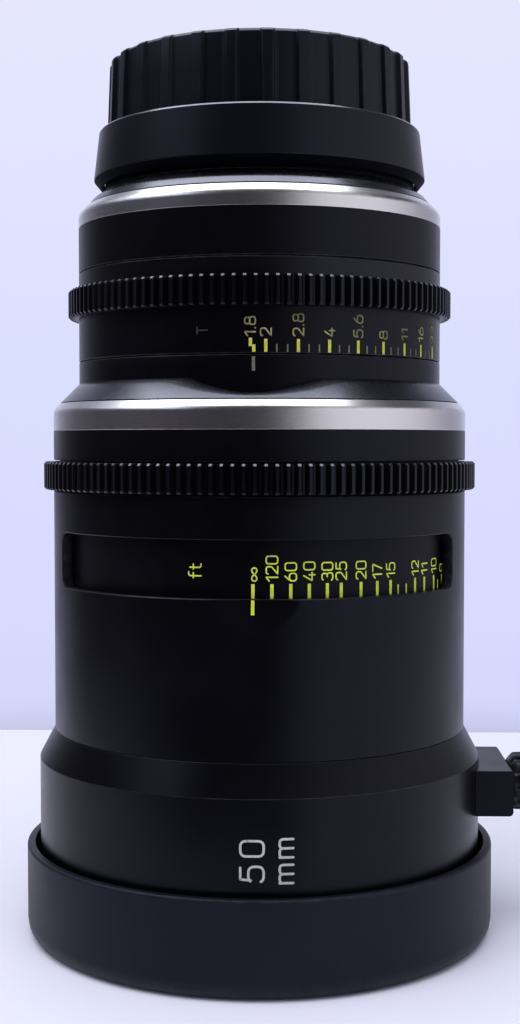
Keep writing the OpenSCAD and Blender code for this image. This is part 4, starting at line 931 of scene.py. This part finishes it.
FEET = (120, 60, 40, 30, 25, 20, 17, 15, 12, 11, 10, 9, 8, 7.5, 7, 6.5, 6, 5.5, 5, 4.5, 4, 3.75, 3.5, 3.25, 3,
        2.75, 2.5, 2.25)
FEET_BETWEEN = (14, 13, 9.5, 8.5, 7.75, 7.25, 6.75, 6.25, 5.75, 5.25, 4.75, 4.25, 3.85, 3.6, 3.4, 3.1,
                2.9, 2.6, 2.4)
FEET_DEGREES = 594.5
NEAR_FEET = 10
CLOSE_FEET = 9
CLOSE_EASE = 2.007
FOCUS_BAR = 0.78
FOCUS_BAR_FOOT = 90.3
FOCUS_BAR_TOP = 93.8
FOCUS_THIN_BAR = 0.45
FOCUS_THIN_TOP = 92.6
FOCUS_FIGURE_FOOT = 94.5
FOCUS_FIGURE = dict(height=2.65, width=0.34, gap=0.24, stretch=1.1)
FEET_SIGN = dict(height=3.0, width=0.34, gap=0.24, stretch=1.08)


def focus_turn(feet):
    """Degrees from infinity. The close end is eased so that its last mark lies at 270 degrees."""
    return FEET_DEGREES / feet - max(0, NEAR_FEET - feet) + CLOSE_EASE * max(0, CLOSE_FEET - feet)


def focus_scale():
    """Distances in feet, round the drum behind the window."""
    scale = Scale(DRUM_R)
    marks = [("o", 0.0)] + [("%g" % feet, focus_turn(feet)) for feet in FEET]
    for text, angle in marks:
        scale.bar(angle, FOCUS_BAR, FOCUS_BAR_FOOT, FOCUS_BAR_TOP)
        scale.write(text, angle, FOCUS_FIGURE_FOOT, **FOCUS_FIGURE)
    for feet in FEET_BETWEEN:
        scale.bar(focus_turn(feet), FOCUS_THIN_BAR, FOCUS_BAR_FOOT, FOCUS_THIN_TOP)
    scale.write("ft", -15.5, 95.1, **FEET_SIGN)
    scale.build("focus_scale_marks", "focus_ring", None, look="mark_lime")


STOPS = ("2", "2.8", "4", "5.6", "8", "11", "16", "22")
STOP_START = 3.5
STOP_DOUBLING = 18.6
STOP_BAR = 0.75
STOP_BAR_FOOT = 146.9
STOP_BAR_TOP = 149.85
THIRD_BAR = 0.36
THIRD_TOP = 148.7
STOP_FIGURE_FOOT = 150.6
STOP_FIGURE = dict(height=2.45, width=0.36, gap=0.27, stretch=1.2)
STOP_LETTER = dict(height=2.5, width=0.34, gap=0.22, stretch=1.0)


def stop_turn(stop):
    """Degrees from the index line."""
    return STOP_START + STOP_DOUBLING * math.log2(stop / 2)


def iris_scale():
    """Stops round the iris ring: a bar and a figure at each, and two short bars after it."""
    bars, figures, thirds, letter = [Scale(REAR_R) for _ in range(4)]
    for k, text in enumerate(STOPS):
        stop = 2 * 2 ** (k / 2)
        bars.bar(stop_turn(stop), STOP_BAR, STOP_BAR_FOOT, STOP_BAR_TOP)
        figures.write(text, stop_turn(stop), STOP_FIGURE_FOOT, **STOP_FIGURE)
        if text == STOPS[-1]:
            break
        for third in (1, 2):
            thirds.bar(stop_turn(stop * 2 ** (third / 6)), THIRD_BAR, STOP_BAR_FOOT, THIRD_TOP)
    # The widest stop lies close to the next, so its bar is bent aside
    bars.bar(0.1, STOP_BAR, STOP_BAR_FOOT, 148.6)
    bars.bar(-0.85, STOP_BAR, 148.2, 150.1)
    figures.write("1.8", -0.95, STOP_FIGURE_FOOT, **STOP_FIGURE)
    letter.write("T", -14.8, 151.2, **STOP_LETTER)
    for scale, name, look in ((bars, "iris_scale_marks", "stop_lime"),
                              (figures, "iris_scale_figures", "figure_lime"),
                              (thirds, "iris_scale_thirds", "mark_pale"),
                              (letter, "iris_scale_letter", "letter_grey")):
        scale.build(name, "iris_control", None, look=look)


FOCUS_LINE_Z = (86.9, 88.6, 90.2)
FOCUS_LINE_STEPS = 4
FOCUS_LINE_R = 51.5
FOCAL_FIGURE = dict(height=5.3, width=0.56, gap=0.43, stretch=1.10)
FOCAL_UNIT = dict(height=4.7, width=0.56, gap=0.362, stretch=1.034)


def fixed_marks():
    """Index lines over both scales, and the focal length on the front barrel."""
    iris_line = Scale(REAR_R)
    iris_line.bar(0.0, STOP_BAR, 142.6, 145.85)
    iris_line.build("iris_index_line", "housing", None, look="line_grey")
    focus_line = Shell()
    wide = math.degrees(FOCUS_BAR / FOCUS_LINE_R)
    angles = [wide * (k / FOCUS_LINE_STEPS - 0.5) for k in range(FOCUS_LINE_STEPS + 1)]
    rows = []
    for z in FOCUS_LINE_Z:
        rows.append(focus_line.chain([polar(SLEEVE_R + PAINT_LIFT - dish(0, z), a, z) for a in angles]))
    for a, b in zip(rows, rows[1:]):
        focus_line.strip(a, b)
    focus_line.build("focus_index_line", "housing", None, look="mark_lime")
    focal = Scale(FRONT_R)
    focal.write("50", 0.0, 27.0, **FOCAL_FIGURE)
    focal.write("mm", 7.05, 26.6, **FOCAL_UNIT)
    focal.build("focal_length_marks", "housing", None, look="figure_white")


focus_scale()
iris_scale()
fixed_marks()


# Stage, in metres
TABLE_SIDE = 1.6
TABLE_BACK = 0.262
CARD_R = 0.75
CARD_STEPS = 80
ROOM_TOP = 0.60
CEILING = 1.25
OVER_TABLE = 0.0005
DARK_FRONT = -0.155


def stage_piece(name, points, faces, look, reflected_only=False):
    mesh = bpy.data.meshes.new(name)
    mesh.from_pydata(points, [], faces)
    mesh.materials.append(look.mat)
    obj = bpy.data.objects.new(name, mesh)
    scene.collection.objects.link(obj)
    if reflected_only:
        obj.visible_camera = obj.visible_diffuse = obj.visible_transmission = obj.visible_shadow = False


def ramp(tree, value, stops):
    """Colours along a value from 0 to 1."""
    node = new_node(tree, "ValToRGB", {0: value})
    elements = node.color_ramp.elements
    while len(elements) < len(stops):
        elements.new(0.5)
    for element, (at, colour) in zip(elements, stops):
        element.position = at
        element.color = (*colour, 1)
    return node.outputs[0]


def slab(z, *corners):
    return [(x, y, z) for x, y in corners], [tuple(range(len(corners)))]


def glowing(name):
    return Look(name, Base_Color=(0.0, 0.0, 0.0), Specular_IOR_Level=0.0, Emission_Strength=1.0)


def card(name, stops, radius, low, high):
    """An upright card that bends round the object, with its colour by bearing."""
    look = glowing(name)
    spot = look.node("SeparateXYZ", {0: look.place()})
    bearing = look.math("ARCTAN2", spot.outputs[0], look.math("MULTIPLY", spot.outputs[1], -1.0))
    look.set(Emission_Color=ramp(look.tree, look.remap(bearing, (-math.pi, math.pi), (0, 1)),
                                 [((a + 180) / 360, colour) for a, colour in stops]))
    first, last, n = stops[0][0], stops[-1][0], CARD_STEPS
    arc = [polar(radius, first + (last - first) * k / n, 0) for k in range(n + 1)]
    stage_piece(name, [(x, y, z) for z in (low, high) for x, y, _ in arc],
                [(k, k + 1, k + n + 2, k + n + 1) for k in range(n)], look, True)


def panel(name, z, corners, tint, other):
    """A flat card of two mixed tints."""
    look = glowing(name)
    look.set(Emission_Color=look.blend(look.noise(scale=3, detail=2), tint, other))
    stage_piece(name, *slab(z, *corners), look, True)


def lamp(name, place, aim, size, radiance):
    data = bpy.data.lights.new(name, "AREA")
    data.shape = "RECTANGLE"
    data.size, data.size_y = size
    data.energy = radiance * math.pi * size[0] * size[1]
    obj = bpy.data.objects.new(name, data)
    obj.location = place
    obj.rotation_euler = (Vector(aim) - Vector(place)).to_track_quat("-Z", "Y").to_euler()
    obj.visible_glossy = False
    scene.collection.objects.link(obj)


table = Look("table_white", Roughness=0.6, Specular_IOR_Level=0.2)
table.set(Base_Color=table.blend(table.noise(scale=6, detail=3), (0.79, 0.795, 0.97), (0.81, 0.815, 0.99)))
stage_piece("table_top", *slab(0, (-TABLE_SIDE, -TABLE_SIDE), (TABLE_SIDE, -TABLE_SIDE),
                               (TABLE_SIDE, TABLE_BACK), (-TABLE_SIDE, TABLE_BACK)), table)

# Cards that only show in the gloss: a dark room with a pale wall on the right, a lit panel overhead
DARK_ROOM = (0.028, 0.025, 0.032)
PALE_WALL = (0.92, 0.905, 1.0)
HIGH_WALL = (0.5, 0.49, 0.54)
HIGH_LAMP = (1.6, 1.7, 2.2)
ROOM = ((-150, (0.60, 0.62, 0.82)), (-135, (0.29, 0.29, 0.37)), (-118, (0.105, 0.10, 0.13)),
        (-95, (0.050, 0.045, 0.058)), (-58, (0.056, 0.048, 0.062)), (-25, DARK_ROOM), (0, DARK_ROOM),
        (11, (0.048, 0.045, 0.052)), (22, (0.28, 0.275, 0.30)), (32, (0.70, 0.69, 0.75)), (44, PALE_WALL),
        (75, PALE_WALL), (95, (0.74, 0.72, 0.82)), (110, (0.52, 0.50, 0.58)), (125, (0.37, 0.36, 0.45)),
        (150, (0.50, 0.51, 0.68)))
UPPER = ((-150, (0.16, 0.165, 0.22)), (-120, (0.03, 0.03, 0.036)), (-20, (0.014, 0.013, 0.016)),
         (22, (0.02, 0.02, 0.024)), (38, HIGH_WALL), (75, HIGH_WALL), (95, (0.04, 0.04, 0.05)),
         (125, (0.03, 0.03, 0.036)), (150, (0.16, 0.165, 0.22)))
HIGH_LEFT = ((-128, (0.4, 0.42, 0.56)), (-95, (0.75, 0.78, 1.05)), (-74, HIGH_LAMP), (-50, HIGH_LAMP),
             (-38, (0.10, 0.10, 0.13)))
OVERHEAD = ((-0.52, -0.17), (0.29, -0.17), (0.25, -0.02), (0.20, 0.06), (0.20, 0.13), (0.10, 0.22),
            (-0.10, 0.28), (-0.20, 0.25), (-0.31, 0.19), (-0.45, 0.10), (-0.52, 0.05))
card("room_card", ROOM, CARD_R, 0.002, ROOM_TOP)
card("upper_card", UPPER, CARD_R, ROOM_TOP, CEILING)
card("high_left_card", HIGH_LEFT, CARD_R - 0.01, 0.56, 0.84)
panel("ceiling_card", CEILING, ((-0.8, -0.8), (0.8, -0.8), (0.8, 0.8), (-0.8, 0.8)),
      (0.016, 0.015, 0.019), (0.024, 0.023, 0.028))
panel("overhead_card", ROOM_TOP, OVERHEAD, (3.9, 4.0, 4.3), (4.2, 4.3, 4.6))
panel("front_card", OVER_TABLE,
      ((-TABLE_SIDE, -TABLE_SIDE), (0.43, -TABLE_SIDE), (0.06, DARK_FRONT), (-TABLE_SIDE, DARK_FRONT)),
      (0.024, 0.022, 0.028), (0.034, 0.032, 0.04))
panel("left_card", OVER_TABLE,
      ((-TABLE_SIDE, DARK_FRONT), (-0.33, DARK_FRONT), (-0.33, TABLE_BACK), (-TABLE_SIDE, TABLE_BACK)),
      (0.08, 0.08, 0.10), (0.10, 0.10, 0.125))
lamp("key", place=(-0.22, -0.55, 1.40), aim=(0, 0, 0.05), size=(1.5, 1.1), radiance=2.9)

# The backdrop that the camera, metal and glass see, by height, and an even fill for the rest
BACKDROP = ((0.400, (0.53, 0.54, 0.75)), (0.406, (0.55, 0.56, 0.78)), (0.412, (0.63, 0.64, 0.92)),
            (0.417, (0.67, 0.68, 0.965)), (0.45, (0.70, 0.71, 1.0)), (0.52, (0.70, 0.73, 1.0)),
            (0.58, (0.76, 0.77, 1.0)), (0.64, (0.79, 0.80, 1.0)))
FILL = (0.96, 0.97, 1.0, 1)
FILL_STRENGTH = 0.69
world = bpy.data.worlds.new("studio")
scene.world = world
world.use_nodes = True
world_tree = world.node_tree
world_tree.nodes.clear()


def world_node(kind, *links, **props):
    return new_node(world_tree, kind, enumerate(links), **props)


facing = world_node("SeparateXYZ", world_node("TexCoord").outputs["Generated"])
height = world_node("MapRange", facing.outputs[2], -1.0, 1.0, 0.0, 1.0)
seen = world_node("Background", ramp(world_tree, height.outputs[0], BACKDROP), 1.0)
fill = world_node("Background", FILL, FILL_STRENGTH)
path = world_node("LightPath")
gloss = world_node("Math", path.outputs["Is Camera Ray"], path.outputs["Is Glossy Ray"], operation="MAXIMUM")
shown = world_node("Math", gloss.outputs[0], path.outputs["Is Transmission Ray"], operation="MAXIMUM")
mixer = world_node("MixShader", shown.outputs[0], fill.outputs[0], seen.outputs[0])
world_node("OutputWorld", mixer.outputs[0])

# Camera, with the photograph's view
EYE = (0.0117, -0.3938, 0.126)
EYE_DOWN = 2.614
EYE_LEFT = 1.7
cam = bpy.data.cameras.new("camera")
cam.sensor_fit = "AUTO"
cam.sensor_width = 36.0
cam.lens = 53.1
cam.shift_x = 0.0005
cam.clip_start, cam.clip_end = 0.01, 20
eye = bpy.data.objects.new("camera", cam)
eye.location = EYE
eye.rotation_euler = (math.radians(90 - EYE_DOWN), 0, math.radians(EYE_LEFT))
scene.collection.objects.link(eye)
scene.camera = eye
